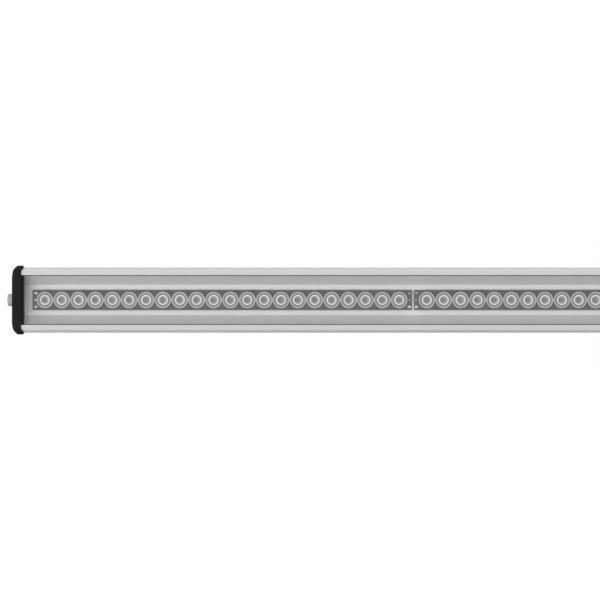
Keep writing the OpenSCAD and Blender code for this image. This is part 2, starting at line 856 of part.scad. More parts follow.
// Draws its children on the driver board, at a distance from its inner end and a height
module on_driver(x, height) {
    at(driver_x0 + x, driver_face, height) backward() children();
}
module driver_tray() {
    tray_l = driver_l + 2 * tray_margin;
    tray_w = driver_w + 2 * tray_margin;
    color("whitesmoke") {
        difference() {
            at(driver_x, chamber_front, 0)
                backward() block(tray_l, tray_w, tray_wall_h);
            at(driver_x, chamber_front + tray_t, 0)
                backward() block(tray_l + 2 * overrun, tray_w - 2 * tray_t, tray_wall_h);
        }
        at_posts(chamber_front + tray_t / 2)
            difference() {
                cylinder(r = post_r, h = post_h + tray_t / 2);
                translate([0, 0, tray_t / 2]) cylinder(r = post_bore_r, h = post_h + overrun);
            }
    }
}
module driver_board() {
    color("darkgreen")
        difference() {
            at(driver_x, driver_face - driver_t, 0)
                backward() block(driver_l, driver_w, driver_t);
            at_posts(driver_face - driver_t - overrun)
                cylinder(r = driver_hole_r, h = driver_t + 2 * overrun);
        }
}
module driver_screws() {
    color("silver")
        at_posts(driver_face)
            difference() {
                union() {
                    cylinder(r = driver_head_r, h = driver_head_h);
                    translate([0, 0, driver_head_h - driver_screw_l])
                        cylinder(r = driver_screw_r, h = driver_screw_l);
                }
                translate([0, 0, driver_head_h / 2]) hexagon(driver_screw_r, driver_head_h);
            }
}
module driver_terminals() {
    color("forestgreen")
        for (row = [-1, 1])
            at(driver_x1 - terminal_inset - terminal_l / 2, driver_face, row * terminal_row)
                backward()
                    difference() {
                        block(terminal_l, terminal_w, terminal_h);
                        for (pole = [-1, 1]) {
                            translate([0, pole * terminal_w / 4, terminal_h / 2])
                                rightward() cylinder(r = terminal_port_r, h = terminal_l);
                            translate([0, pole * terminal_w / 4, terminal_h - terminal_screw_depth])
                                cylinder(r = terminal_screw_r, h = terminal_screw_depth + overrun);
                        }
                    }
}
module input_fuse() {
    color("dimgray")
        on_driver(fuse_x, driver_w * row_share)
            cylinder(r = fuse_r, h = driver_clear_h * fuse_h_share);
}
module smoothing_capacitors() {
    color("midnightblue")
        for (x = [capacitor_in_x, capacitor_out_x])
            on_driver(x, driver_w * row_share)
                rotate_extrude()
                    polygon([
                        [0, 0],
                        [capacitor_r, 0],
                        [capacitor_r, capacitor_groove_h],
                        [capacitor_r - capacitor_groove_t, capacitor_groove_h + capacitor_groove_t],
                        [capacitor_r, capacitor_groove_h + 2 * capacitor_groove_t],
                        [capacitor_r, driver_clear_h - capacitor_groove_t],
                        [capacitor_r - capacitor_groove_t, driver_clear_h],
                        [0, driver_clear_h]]);
}
module power_inductors() {
    half_w = inductor_w / 2;
    cut = half_w - inductor_corner;
    inductor_h = driver_clear_h * inductor_h_share;
    color("darkslategray")
        for (x = [inductor_in_x, inductor_out_x])
            on_driver(x, driver_w * row_share)
                difference() {
                    linear_extrude(height = inductor_h)
                        polygon([[half_w, -cut], [half_w, cut], [cut, half_w], [-cut, half_w],
                            [-half_w, cut], [-half_w, -cut], [-cut, -half_w], [cut, -half_w]]);
                    translate([0, 0, inductor_h - inductor_well_t])
                        cylinder(r = inductor_well_r, h = inductor_well_t + overrun);
                }
}
module power_transistors() {
    color("black")
        for (x = [inductor_in_x, inductor_out_x])
            on_driver(x, -driver_w * row_share) {
                block(transistor_l, transistor_w, transistor_t);
                block(transistor_l + 2 * transistor_tab_l, transistor_w / 2, transistor_tab_t);
            }
}
module driver_controller() {
    color("black")
        on_driver(capacitor_out_x, -driver_w * row_share) {
            translate([0, 0, controller_leg_t / 2])
                block(controller_l, controller_w, controller_t - controller_leg_t / 2);
            for (i = [0:controller_legs - 1])
                translate([(i - (controller_legs - 1) / 2) * controller_pitch, 0, 0])
                    block(controller_leg_w, controller_w + 2 * controller_leg_l, controller_leg_t);
        }
}
module protection_diode() {
    color("black")
        on_driver(fuse_x, -driver_w * row_share) block(diode_l, diode_w, diode_t);
}

// Side view of a bracket: a foot on the wall and ears that run out to the pivot
module bracket_side_view() {
    root = bracket_h * ear_root_share;
    polygon(concat(
        arc([pivot_y, 0], ear_r, ear_r, 270, 90, 2 * quarter_steps),
        [[-bracket_t, root], [-bracket_t, bracket_h / 2], [0, bracket_h / 2],
         [0, -bracket_h / 2], [-bracket_t, -bracket_h / 2], [-bracket_t, -root]]));
}
module wall_bracket(x) {
    color("lightgray")
        difference() {
            translate([x - bracket_w / 2, 0, 0])
                rotate([90, 0, 90]) linear_extrude(height = bracket_w) bracket_side_view();
            translate([x - ear_gap / 2, pivot_y - ear_r - overrun, -bracket_h])
                cube([ear_gap, pivot_wall + ear_r + overrun - bracket_t, 2 * bracket_h]);
            for (side = [-1, 1]) {
                translate([x, overrun, side * wall_hole_spacing / 2])
                    forward() cylinder(r = wall_hole_d / 2, h = bracket_t + 2 * overrun);
            }
            translate([x - bracket_w, pivot_y, 0])
                rightward() cylinder(r = pivot_r + thread_fit, h = 2 * bracket_w);
        }
}
module wall_bracket_left() { wall_bracket(-bracket_x); }
module wall_bracket_right() { wall_bracket(bracket_x); }

// Draws its children on both pivots, with height running out along the lamp
module at_pivots() {
    for (side = [-1, 1])
        translate([side * bracket_x, pivot_y, 0]) rightward() children();
}
module pivot_bolts() {
    color("silver")
        at_pivots() {
            translate([0, 0, -pivot_stack])
                cylinder(r = pivot_r, h = 2 * pivot_stack + pivot_nut_h + pivot_tail);
            translate([0, 0, -pivot_stack - pivot_head_h])
                hexagon(pivot_head_r, pivot_head_h);
        }
}
module pivot_washers() {
    color("silver")
        at_pivots() {
            for (z = [-pivot_stack, pivot_stack - washer_t])
                translate([0, 0, z]) ring(washer_r, pivot_r + thread_fit, washer_t);
        }
}
module pivot_nuts() {
    color("silver")
        at_pivots()
            translate([0, 0, pivot_stack])
                difference() {
                    hexagon(pivot_head_r, pivot_nut_h);
                    translate([0, 0, -overrun])
                        cylinder(r = pivot_r + thread_fit, h = pivot_nut_h + 2 * overrun);
                }
}

module clamp_shoe(x) {
    color("silver")
        difference() {
            union() {
                translate([x - shoe_l / 2, shoe_front, -shoe_w / 2])
                    cube([shoe_l, shoe_t, shoe_w]);
                translate([x - shoe_l / 2, shoe_front - shoe_rib_h, -shoe_rib_w / 2])
                    cube([shoe_l, shoe_rib_h + shoe_t / 2, shoe_rib_w]);
                translate([x - lug_w / 2, 0, 0])
                    rotate([90, 0, 90])
                        linear_extrude(height = lug_w) {
                            translate([pivot_y, 0]) circle(r = lug_r);
                            translate([shoe_back - shoe_t / 2, -lug_r])
                                square([pivot_y - shoe_back + shoe_t / 2, 2 * lug_r]);
                        }
            }
            translate([x - lug_w, pivot_y, 0])
                rightward() cylinder(r = pivot_r + thread_fit, h = 2 * lug_w);
            for (side = [-1, 1]) {
                translate([x + side * clamp_screw_spacing / 2, shoe_back + overrun, 0])
                    forward()
                        cylinder(r = clamp_screw_r + thread_fit, h = shoe_t + shoe_rib_h + 2 * overrun);
            }
        }
}
module clamp_shoe_left() { clamp_shoe(-bracket_x); }
module clamp_shoe_right() { clamp_shoe(bracket_x); }
// Draws its children at the four clamp screws, pointing forward from the given place
module at_clamp_screws(y) {
    for (end = [-1, 1], side = [-1, 1])
        translate([end * bracket_x + side * clamp_screw_spacing / 2, y, 0])
            forward() children();
}
module slot_nuts() {
    color("silver")
        difference() {
            for (end = [-1, 1])
                translate([end * bracket_x, slot_nut_back, 0])
                    forward() block(slot_nut_l, slot_nut_w, slot_nut_t);
            at_clamp_screws(slot_nut_back + overrun)
                cylinder(r = clamp_screw_r + thread_fit, h = slot_nut_t + 2 * overrun);
        }
}
module clamp_screws() {
    shank_l = shoe_back - slot_nut_back + slot_nut_t - clamp_screw_end;
    color("silver")
        at_clamp_screws(shoe_back)
            difference() {
                union() {
                    cylinder(r = clamp_screw_r, h = shank_l);
                    translate([0, 0, -clamp_head_h])
                        cylinder(r1 = clamp_screw_r, r2 = clamp_head_r, h = clamp_head_h);
                }
                translate([0, 0, -clamp_head_h - overrun])
                    hexagon(clamp_socket_r, clamp_socket_depth + overrun);
            }
}

wall_bracket_left();
wall_bracket_right();
pivot_bolts();
pivot_washers();
pivot_nuts();
clamp_shoe_left();
clamp_shoe_right();
slot_nuts();
clamp_screws();
housing();
front_glass();
glass_seal_upper();
glass_seal_lower();
end_cap_left();
end_cap_right();
cap_gasket_left();
cap_gasket_right();
cap_screws_left();
cap_screws_right();
vent_plug();
vent_seal();
gland_body();
gland_nut();
gland_insert();
gland_seal();
led_board_left();
led_board_right();
led_chips_left();
led_chips_right();
lens_strip_left();
lens_strip_right();
thermal_tape_left();
thermal_tape_right();
solder_pads();
link_wires();
supply_leads();
lead_grommet();
driver_tray();
driver_board();
driver_screws();
driver_terminals();
input_fuse();
smoothing_capacitors();
power_inductors();
power_transistors();
driver_controller();
protection_diode();
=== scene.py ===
"""Looks of a linear outdoor wall washer light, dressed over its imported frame.

The lamp lies along X, shines along -Y and stands off the wall at y = 0 on two tilting
brackets. Every length here is in metres, and every piece is made where the frame has it.
"""

import logging
import math
from dataclasses import dataclass, field
from enum import Enum
from typing import ClassVar, Iterable, Sequence

import bmesh
import bpy
from mathutils import Matrix, Vector


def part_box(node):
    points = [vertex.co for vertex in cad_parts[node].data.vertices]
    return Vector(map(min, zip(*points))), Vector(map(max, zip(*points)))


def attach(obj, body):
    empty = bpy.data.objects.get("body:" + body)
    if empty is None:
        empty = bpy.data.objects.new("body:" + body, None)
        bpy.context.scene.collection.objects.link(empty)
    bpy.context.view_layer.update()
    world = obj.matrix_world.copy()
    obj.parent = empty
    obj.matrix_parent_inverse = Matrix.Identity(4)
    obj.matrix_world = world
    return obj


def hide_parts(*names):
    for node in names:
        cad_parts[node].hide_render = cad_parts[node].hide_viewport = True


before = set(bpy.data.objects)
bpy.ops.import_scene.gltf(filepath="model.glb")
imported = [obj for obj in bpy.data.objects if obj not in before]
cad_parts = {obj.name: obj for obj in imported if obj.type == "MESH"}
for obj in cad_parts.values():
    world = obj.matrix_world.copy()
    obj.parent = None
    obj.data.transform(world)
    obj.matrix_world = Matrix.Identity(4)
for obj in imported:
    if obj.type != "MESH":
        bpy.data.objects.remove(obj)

LOG = logging.getLogger("wall_washer")
MM = 0.001

Point2 = tuple[float, float]
Colour = tuple[float, float, float]
Part = tuple[list[Vector], list[list[int]]]
Socket = bpy.types.NodeSocket
Inputs = dict[str | int, object]

# Turns what stands up along Z so that it points out of the lamp.
FORWARD = Matrix.Rotation(math.radians(90), 4, "X")


class Body(str, Enum):
    """The bodies that move on their own."""

    BRACKETS = "wall_brackets"
    CLAMPS = "clamps"
    LAMP = "lamp"


class Side(Enum):
    """The two ends of the lamp, seen from the front."""

    LEFT = -1
    RIGHT = 1

    @property
    def word(self) -> str:
        """The side's name as the nodes have it."""
        return self.name.lower()


class Slot(str, Enum):
    """The record's material slot names; each finish carries one, but no piece is given its slot."""

    PROFILE = "anodised_aluminium"
    CAST = "cast_aluminium"
    GLASS = "clear_glass"
    SILICONE = "grey_silicone"
    BLACK_PLASTIC = "black_plastic"
    GREY_PLASTIC = "grey_plastic"
    DARK_PLASTIC = "dark_grey_plastic"
    RUBBER = "black_rubber"
    STEEL = "stainless_steel"
    BRACKET = "bracket_steel"
    BOARD = "board_grey"
    LENS = "clear_lens"
    PADS = "copper_gold"
    SOLDER = "tinned_wire"
    LEADS = "lead_insulation"


class Grain(Enum):
    """The direction that the lines of a metal finish run in, as texture scales along X, Y and Z."""

    ALONG_X = (6.0, 900.0, 900.0)
    ALONG_Z = (900.0, 900.0, 14.0)
    NONE = (260.0, 260.0, 260.0)


class Tree:
    """A tree of shader nodes, with short calls that add and join them."""

    def __init__(self, tree: bpy.types.NodeTree) -> None:
        """Takes a tree and empties it."""
        self.nodes, self.links = tree.nodes, tree.links
        self.nodes.clear()

    def fill(self, node: bpy.types.Node, inputs: Inputs) -> None:
        """Sets sockets of a node, or joins them to sockets of other nodes.

        Args:
            node: The node.
            inputs: What each socket is set to or joined to, by its name or number.
        """
        for name, value in inputs.items():
            if isinstance(value, Socket):
                self.links.new(value, node.inputs[name])
            else:
                node.inputs[name].default_value = value

    def add(self, kind: str, inputs: Inputs | None = None, **options: object) -> bpy.types.Node:
        """Adds a node.

        Args:
            kind: The kind of node, without the ShaderNode that starts its type's name.
            inputs: What each socket is set to or joined to.
            options: The node's own settings.

        Returns:
            The node.
        """
        node = self.nodes.new(f"ShaderNode{kind}")
        for name, value in options.items():
            setattr(node, name, value)
        self.fill(node, inputs or {})
        return node

    def combine(self, operation: str, first: Socket, second: Socket) -> Socket:
        """Two values put together by a sum or another operation."""
        return self.add("Math", {0: first, 1: second}, operation=operation).outputs["Value"]

    def ramp(self, value: Socket, stops: Sequence[tuple[float, Colour]]) -> Socket:
        """Turns a value into a colour.

        Args:
            value: The value, from 0 to 1.
            stops: Places along the ramp, each with its colour.

        Returns:
            The colour.
        """
        node = self.add("ValToRGB", {"Fac": value})
        elements = node.color_ramp.elements
        while len(elements) < len(stops):
            elements.new(1.0)
        for element, (place, colour) in zip(elements, stops):
            element.position = place
            element.color = (*colour, 1.0)
        return node.outputs["Color"]

    def between(self, value: Socket, low: float, high: float,
                start: float = 0.3, end: float = 0.7) -> Socket:
        """Turns a value into one that lies between two limits.

        Args:
            value: The value.
            low: What it becomes at the start.
            high: What it becomes at the end.
            start: The value that becomes low.
            end: The value that becomes high.

        Returns:
            The new value.
        """
        return self.add("MapRange", {
            "Value": value, "From Min": start, "From Max": end,
            "To Min": low, "To Max": high}).outputs["Result"]

    def seen_rays(self) -> Socket:
        """A value that is 1 for rays that show the background: camera, glossy and transmission.

        Returns:
            The value.
        """
        path = self.add("LightPath").outputs
        mirrored_or_seen = self.combine("MAXIMUM", path["Is Camera Ray"], path["Is Glossy Ray"])
        return self.combine("MAXIMUM", mirrored_or_seen, path["Is Transmission Ray"])


class Graph(Tree):
    """A material's shader nodes: a Principled surface and object coordinates to start with."""

    def __init__(self, name: str) -> None:
        """Starts a material.

        Args:
            name: The material's name.
        """
        self.material = bpy.data.materials.new(name)
        self.material.use_nodes = True
        super().__init__(self.material.node_tree)
        self.surface = self.add("BsdfPrincipled")
        self.output = self.add("OutputMaterial", {"Surface": self.surface.outputs["BSDF"]})
        self.place = self.add("TexCoord").outputs["Object"]

    def set(self, **values: object) -> None:
        """Sets or joins sockets of the surface, with spaces in their names written as underscores."""
        self.fill(self.surface, {name.replace("_", " "): value for name, value in values.items()})

    def scaled(self, scale: Sequence[float]) -> Socket:
        """Object coordinates stretched by a scale along X, Y and Z, in repeats per metre."""
        return self.add("Mapping", {"Scale": scale, "Vector": self.place}).outputs["Vector"]

    def noise(self, where: Socket, scale: float = 1.0, detail: float = 3.0,
              roughness: float = 0.55) -> Socket:
        """A cloudy value between 0 and 1, with a number of finer layers and how strong they are."""
        return self.add("TexNoise", {
            "Vector": where, "Scale": scale, "Detail": detail, "Roughness": roughness}).outputs["Fac"]

    def cells(self, where: Socket, scale: float) -> Socket:
        """The distance to the nearest of many scattered points."""
        return self.add("TexVoronoi", {"Vector": where, "Scale": scale}).outputs["Distance"]

    def bricks(self, where: Socket, line: float) -> Socket:
        """A pattern of staggered rows, 0 on the tiles and 1 on the lines between them.

        Args:
            where: The coordinates, one row per unit.
            line: The width of the lines.

        Returns:
            The value.
        """
        return self.add("TexBrick", {
            "Vector": where, "Scale": 1.0, "Mortar Size": line, "Mortar Smooth": 0.1,
            "Brick Width": 4.0, "Row Height": 1.0}).outputs["Fac"]

    def attribute(self, name: str) -> Socket:
        """A value that the mesh carries at each point."""
        return self.add("Attribute", attribute_name=name).outputs["Fac"]

    def bump(self, height: Socket, depth: float, strength: float) -> None:
        """Dents the surface, on top of any dents that it already has.

        Args:
            height: The height, from 0 to 1.
            depth: The depth that a height of 1 stands for.
            strength: How much of it shows.
        """
        dents = self.add("Bump", {"Strength": strength, "Distance": depth, "Height": height})
        normal = self.surface.inputs["Normal"]
        if normal.is_linked:
            self.fill(dents, {"Normal": normal.links[0].from_socket})
        self.links.new(dents.outputs["Normal"], normal)


def shade(colour: Colour, factor: float) -> Colour:
    """A colour made lighter or darker by a factor."""
    return tuple(min(channel * factor, 1.0) for channel in colour)


def greys(stops: Sequence[Point2]) -> list[tuple[float, Colour]]:
    """Places along a ramp with a level of grey, as a ramp takes them."""
    return [(place, (level, level, level)) for place, level in stops]


@dataclass(frozen=True)
class Finish:
    """A surface finish: what every one has, and how its material is kept."""

    name: str
    slot: Slot | None = None
    made: ClassVar[dict[str, bpy.types.Material]] = {}

    def paint(self, graph: Graph) -> None:
        """Fills in the finish's own nodes."""
        raise NotImplementedError

    def material(self) -> bpy.types.Material:
        """The finish's material, made once.

        Returns:
            The material.
        """
        if self.name not in Finish.made:
            graph = Graph(self.name)
            self.paint(graph)
            Finish.made[self.name] = graph.material
        return Finish.made[self.name]


@dataclass(frozen=True)
class Metal(Finish):
    """Bare or anodised metal with fine lines, soft clouds and a blasted skin."""

    colour: Colour = (0.6, 0.6, 0.6)
    roughness: float = 0.3
    grain: Grain = Grain.NONE
    contrast: float = 0.06
    depth: float = 0.01 * MM
    metallic: float = 1.0
    gloss: float = 0.5
    clouds: float = 55.0
    pores: float = 5200.0

    def paint(self, graph: Graph) -> None:
        """Lines in the colour, the roughness and the bump, with clouds over them."""
        lines = graph.noise(graph.scaled(self.grain.value), detail=4.0, roughness=0.7)
        clouds = graph.noise(graph.place, self.clouds, detail=2.0)
        dullness = graph.between(clouds, self.roughness - 0.02, self.roughness + 0.03)
        colours = [(0.25, shade(self.colour, 1 - self.contrast)), (0.5, self.colour),
                   (0.75, shade(self.colour, 1 + self.contrast))]
        graph.set(Base_Color=graph.ramp(lines, colours), Metallic=self.metallic,
                  Specular_IOR_Level=self.gloss,
                  Roughness=graph.combine("ADD", graph.between(lines, -0.05, 0.05), dullness))
        graph.bump(lines, self.depth, 0.7)
        graph.bump(graph.noise(graph.place, self.pores, detail=1.0), self.depth / 2, 0.35)


@dataclass(frozen=True)
class Moulding(Finish):
    """Moulded plastic or rubber with a spark-eroded grain and slight flow marks."""

    colour: Colour = (0.02, 0.02, 0.02)
    roughness: float = 0.5
    grain: float = 3600.0
    depth: float = 0.02 * MM
    gloss: float = 0.5
    flow: Sequence[float] = (60.0, 60.0, 25.0)

    def paint(self, graph: Graph) -> None:
        """Grain in the bump and the roughness, and flow marks in the colour."""
        grain = graph.cells(graph.place, self.grain)
        flow = graph.noise(graph.scaled(self.flow), detail=4.0)
        colours = [(0.3, shade(self.colour, 0.86)), (0.7, shade(self.colour, 1.12))]
        dullness = graph.between(grain, self.roughness - 0.07, self.roughness + 0.08, 0.1, 0.8)
        graph.set(Base_Color=graph.ramp(flow, colours), Roughness=dullness, Specular_IOR_Level=self.gloss)
        graph.bump(grain, self.depth, 0.6)
        graph.bump(flow, self.depth, 0.25)


@dataclass(frozen=True)
class SolderMask(Finish):
    """A glossy lacquer over copper tracks, as on a circuit board."""

    colour: Colour = (0.1, 0.11, 0.12)
    track_rows: Sequence[float] = (420.0, 1.0, 620.0)
    track_gap: float = 0.14
    track_height: float = 0.03 * MM
    weave_height: float = 0.01 * MM

    def paint(self, graph: Graph) -> None:
        """Tracks that stand up a little and show through the lacquer, over a fine weave."""
        tracks = graph.bricks(self.board_coordinates(graph), self.track_gap)
        weave = graph.noise(graph.place, scale=1500.0)
        colours = [(0.3, shade(self.colour, 0.82)), (0.7, shade(self.colour, 1.2))]
        base = graph.add("Mix", {"Factor": tracks, "A": graph.ramp(weave, colours),
                                 "B": (*shade(self.colour, 0.62), 1.0)}, data_type="RGBA")
        graph.set(Base_Color=base.outputs["Result"], Roughness=0.34, Coat_Weight=0.35, Coat_Roughness=0.18)
        graph.bump(tracks, -self.track_height, 0.6)
        graph.bump(weave, self.weave_height, 0.3)

    def board_coordinates(self, graph: Graph) -> Socket:
        """Coordinates in track rows, which run along X and follow each other along Z."""
        split = graph.add("SeparateXYZ", {"Vector": graph.scaled(self.track_rows)}).outputs
        return graph.add("CombineXYZ", {"X": split["X"], "Y": split["Z"]}).outputs["Vector"]


@dataclass(frozen=True)
class Glazing(Finish):
    """Clear glass that shows what is behind it, with a faint sheen at the edges of its view."""

    tint: Colour = (0.86, 0.93, 0.92)
    facing_alpha: float = 0.035
    grazing_alpha: float = 0.75
    wipes: Sequence[float] = (30.0, 30.0, 110.0)

    def paint(self, graph: Graph) -> None:
        """A polished skin whose cover grows towards grazing views, with faint wipe marks."""
        edge = graph.add("LayerWeight", {"Blend": 0.12}).outputs["Fresnel"]
        marks = graph.noise(graph.scaled(self.wipes), detail=5.0)
        graph.set(Base_Color=(*self.tint, 1.0), IOR=1.52, Specular_IOR_Level=0.5,
                  Roughness=graph.between(marks, 0.02, 0.07),
                  Alpha=graph.between(edge, self.facing_alpha, self.grazing_alpha, 0.0, 1.0))


@dataclass(frozen=True)
class LensPlastic(Finish):
    """Moulded optical plastic, with a painted highlight, painted shade and a painted image of the LED in
    rings round each lens's axis.
    """

    # Ring colours by distance from the axis, as shares of the radius: a painted dark image of the LED in
    # the middle, a painted highlight ring near half the radius, and painted shade rings outside it.
    zones: Sequence[tuple[float, Colour]] = (
        (0.0, (0.26, 0.26, 0.22)),
        (0.19, (0.29, 0.29, 0.25)),
        (0.24, (0.5, 0.5, 0.49)),
        (0.41, (0.58, 0.58, 0.575)),
        (0.47, (0.95, 0.95, 0.94)),
        (0.56, (0.96, 0.96, 0.95)),
        (0.6, (0.3, 0.3, 0.28)),
        (0.76, (0.24, 0.24, 0.225)),
        (0.84, (0.47, 0.47, 0.47)),
        (1.0, (0.4, 0.4, 0.41)))
    mirror: Sequence[Point2] = ((0.43, 0.0), (0.48, 0.9), (0.55, 0.9), (0.59, 0.0))
    wave_height: float = 0.005 * MM
    zone_name: str = "lens_zone"

    def paint(self, graph: Graph) -> None:
        """A painted highlight or shade colour and a mirroring for each ring of the lens, with faint mould
        waves.
        """
        waves = graph.noise(graph.place, scale=500.0, detail=2.0)
        zone = graph.attribute(self.zone_name)
        graph.set(IOR=1.49, Coat_Weight=0.15, Coat_Roughness=0.06, Specular_IOR_Level=0.3,
                  Base_Color=graph.ramp(zone, self.zones), Metallic=graph.ramp(zone, greys(self.mirror)),
                  Roughness=graph.between(waves, 0.3, 0.38))
        graph.bump(waves, self.wave_height, 0.3)


@dataclass(frozen=True)
class Solder(Finish):
    """Metal that has flowed: tinned joints and plated pads."""

    colour: Colour = (0.72, 0.72, 0.7)
    roughness: float = 0.28
    metallic: float = 0.85
    frost_height: float = 0.03 * MM

    def paint(self, graph: Graph) -> None:
        """A frosty skin with duller islands."""
        frost = graph.noise(graph.place, scale=2600.0, detail=4.0)
        colours = [(0.3, shade(self.colour, 0.8)), (0.65, shade(self.colour, 1.1))]
        graph.set(Base_Color=graph.ramp(frost, colours), Metallic=self.metallic,
                  Roughness=graph.between(frost, self.roughness - 0.08, self.roughness + 0.12))
        graph.bump(frost, self.frost_height, 0.5)


class Finishes:
    """Every finish of the lamp, by the name of what wears it."""

    PROFILE = Metal("satin_anodised_profile", Slot.PROFILE, (0.67, 0.67, 0.68), 0.22, Grain.ALONG_X,
                    0.02, 0.002 * MM, 0.2, 0.25)
    # Channel slopes and ledges: rougher and less metallic than the rails, and lighter in colour as painted
    # light that offsets the shade inside the recessed channel.
    SLOPE = Metal("lightened_channel_slopes", Slot.PROFILE, (0.84, 0.84, 0.85), 0.38, Grain.ALONG_X,
                  0.015, 0.001 * MM, 0.2, 0.25)
    LEDGE = Metal("lightened_channel_ledges", Slot.PROFILE, (0.86, 0.86, 0.87), 0.45, Grain.ALONG_X,
                  0.015, 0.001 * MM, 0.1, 0.25)
    CAST = Metal("blasted_casting", Slot.CAST, (0.5, 0.5, 0.51), 0.42, Grain.NONE, 0.08, 0.03 * MM)
    BRACKET = Metal("brushed_bracket_sheet", Slot.BRACKET, (0.56, 0.56, 0.55), 0.3, Grain.ALONG_Z, 0.09)
    STEEL = Metal("bright_fastener_steel", Slot.STEEL, (0.6, 0.59, 0.57), 0.24, Grain.NONE, 0.05)
    CAP = Moulding("black_grained_cap", Slot.BLACK_PLASTIC, (0.0095, 0.0095, 0.0097), 0.52, gloss=0.12)
    VENT = Moulding("grey_vent_moulding", Slot.GREY_PLASTIC, (0.52, 0.52, 0.52), 0.45)
    GLAND = Moulding("dark_nylon", Slot.DARK_PLASTIC, (0.045, 0.045, 0.047), 0.42)
    RUBBER = Moulding("black_seal_rubber", Slot.RUBBER, (0.014, 0.014, 0.014), 0.72, 2400.0)
    SILICONE = Moulding("grey_glazing_silicone", Slot.SILICONE, (0.18, 0.18, 0.185), 0.6, 1800.0)
    GLASS = Glazing("clear_front_glass", Slot.GLASS)
    BOARD = SolderMask("led_board_lacquer", Slot.BOARD, (0.09, 0.101, 0.107))
    LENS = LensPlastic("moulded_lens_plastic", Slot.LENS)
    PADS = Solder("gilded_pads", Slot.PADS, (0.98, 0.7, 0.46), 0.4, 0.7)
    SOLDER = Solder("tinned_joints", Slot.SOLDER, (0.8, 0.8, 0.79), 0.36, 0.4)
    LINKS = Solder("bronze_links", Slot.SOLDER, (0.5, 0.42, 0.34), 0.4, 0.4)
    LEADS = Moulding("lead_sleeving", Slot.LEADS, (0.34, 0.02, 0.018), 0.36, 5000.0)
    PHOSPHOR = Moulding("led_phosphor", None, (0.78, 0.6, 0.2), 0.3, 9000.0)
    TRAY = Moulding("white_tray", None, (0.72, 0.72, 0.7), 0.4)
    DRIVER_BOARD = SolderMask("driver_board_lacquer", None, (0.02, 0.13, 0.05))
    TERMINAL = Moulding("green_terminal", None, (0.04, 0.3, 0.1), 0.35)
    SLEEVE = Moulding("capacitor_sleeve", None, (0.02, 0.03, 0.11), 0.3)
    FERRITE = Moulding("pressed_ferrite", None, (0.04, 0.04, 0.045), 0.6, 5200.0, 0.04 * MM)
    PACKAGE = Moulding("black_package", None, (0.02, 0.02, 0.021), 0.45)


def linked(name: str, mesh: bpy.types.Mesh) -> bpy.types.Object:
    """A new object in the scene for a mesh."""
    piece = bpy.data.objects.new(name, mesh)
    bpy.context.scene.collection.objects.link(piece)
    return piece


def mesh_of(name: str, points: Iterable[Sequence[float]],
            faces: Iterable[Sequence[int]]) -> bpy.types.Mesh:
    """A mesh from its points and faces, with its faces turned outwards.

    Args:
        name: The mesh's name.
        points: The corners.
        faces: The corners' numbers, face by face.

    Returns:
        The mesh.
    """
    mesh = bpy.data.meshes.new(name)
    mesh.from_pydata([tuple(p) for p in points], [], [tuple(f) for f in faces])
    shell = bmesh.new()
    shell.from_mesh(mesh)
    bmesh.ops.recalc_face_normals(shell, faces=shell.faces)
    shell.to_mesh(mesh)
    shell.free()
    return mesh


def smooth(mesh: bpy.types.Mesh, angle: float = 32.0) -> None:
    """Shades a mesh smooth, apart from edges that turn by more than an angle in degrees."""
    mesh.shade_smooth()
    mesh.set_sharp_from_angle(angle=math.radians(angle))


def bevel(piece: bpy.types.Object, width: float, segments: int = 2, angle: float = 32.0) -> None:
    """Rounds a piece's sharp edges.

    Args:
        piece: The piece.
        width: The width of the rounding.
        segments: The number of faces across it.
        angle: The least turn, in degrees, at which an edge is rounded.
    """
    edge = piece.modifiers.new("edge", "BEVEL")
    edge.width = width
    edge.segments = segments
    edge.limit_method = "ANGLE"
    edge.angle_limit = math.radians(angle)
    edge.miter_outer = "MITER_ARC"
    edge.harden_normals = False
    weigh = piece.modifiers.new("weigh", "WEIGHTED_NORMAL")
    weigh.keep_sharp = True


def settle(piece: bpy.types.Object, body: Body, finish: Finish, stands_for: Sequence[str] = ()) -> None:
    """Dresses a piece, ties it to its body and hides the nodes that it stands for.

    Args:
        piece: The piece, in its place.
        body: The body that it moves with.
        finish: Its finish.
        stands_for: The nodes that it replaces.
    """
    piece.data.materials.clear()
    piece.data.materials.append(finish.material())
    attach(piece, body.value)
    if stands_for:
        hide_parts(*stands_for)
    LOG.info("%s: %d faces, %s", piece.name, len(piece.data.polygons), finish.name)


def dress(node: str, finish: Finish) -> None:
    """Gives a node that stays a finish, in its object's own material slots."""
    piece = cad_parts[node]
    if not piece.material_slots:
        piece.data.materials.append(None)
    for place in piece.material_slots:
        place.material = finish.material()
    LOG.info("%s: kept, %s", node, finish.name)


def refined(node: str, name: str, edge: float, segments: int = 2, softness: int = 0) -> bpy.types.Object:
    """A node's own shape with its flat faces whole and its edges rounded.

    Args:
        node: The node.
        name: The new piece's name.
        edge: The width of the rounded edges, or zero for none.
        segments: The number of faces across each edge.
        softness: The levels of subdivision, for a piece that is round all over.

    Returns:
        The new piece.
    """
    shell = bmesh.new()
    shell.from_mesh(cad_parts[node].data)
    bmesh.ops.remove_doubles(shell, verts=shell.verts, dist=0.002 * MM)
    bmesh.ops.dissolve_limit(shell, angle_limit=math.radians(0.6), use_dissolve_boundaries=False,
                             verts=shell.verts, edges=shell.edges, delimit=set())
    shell.verts.index_update()
    mesh = bpy.data.meshes.new(name)
    mesh.from_pydata([v.co.copy() for v in shell.verts], [],
                     [[v.index for v in f.verts] for f in shell.faces])
    shell.free()
    smooth(mesh)
    piece = linked(name, mesh)
    if softness:
        soft = piece.modifiers.new("soft", "SUBSURF")
        soft.levels = soft.render_levels = softness
    if edge:
        bevel(piece, edge, segments)
    return piece


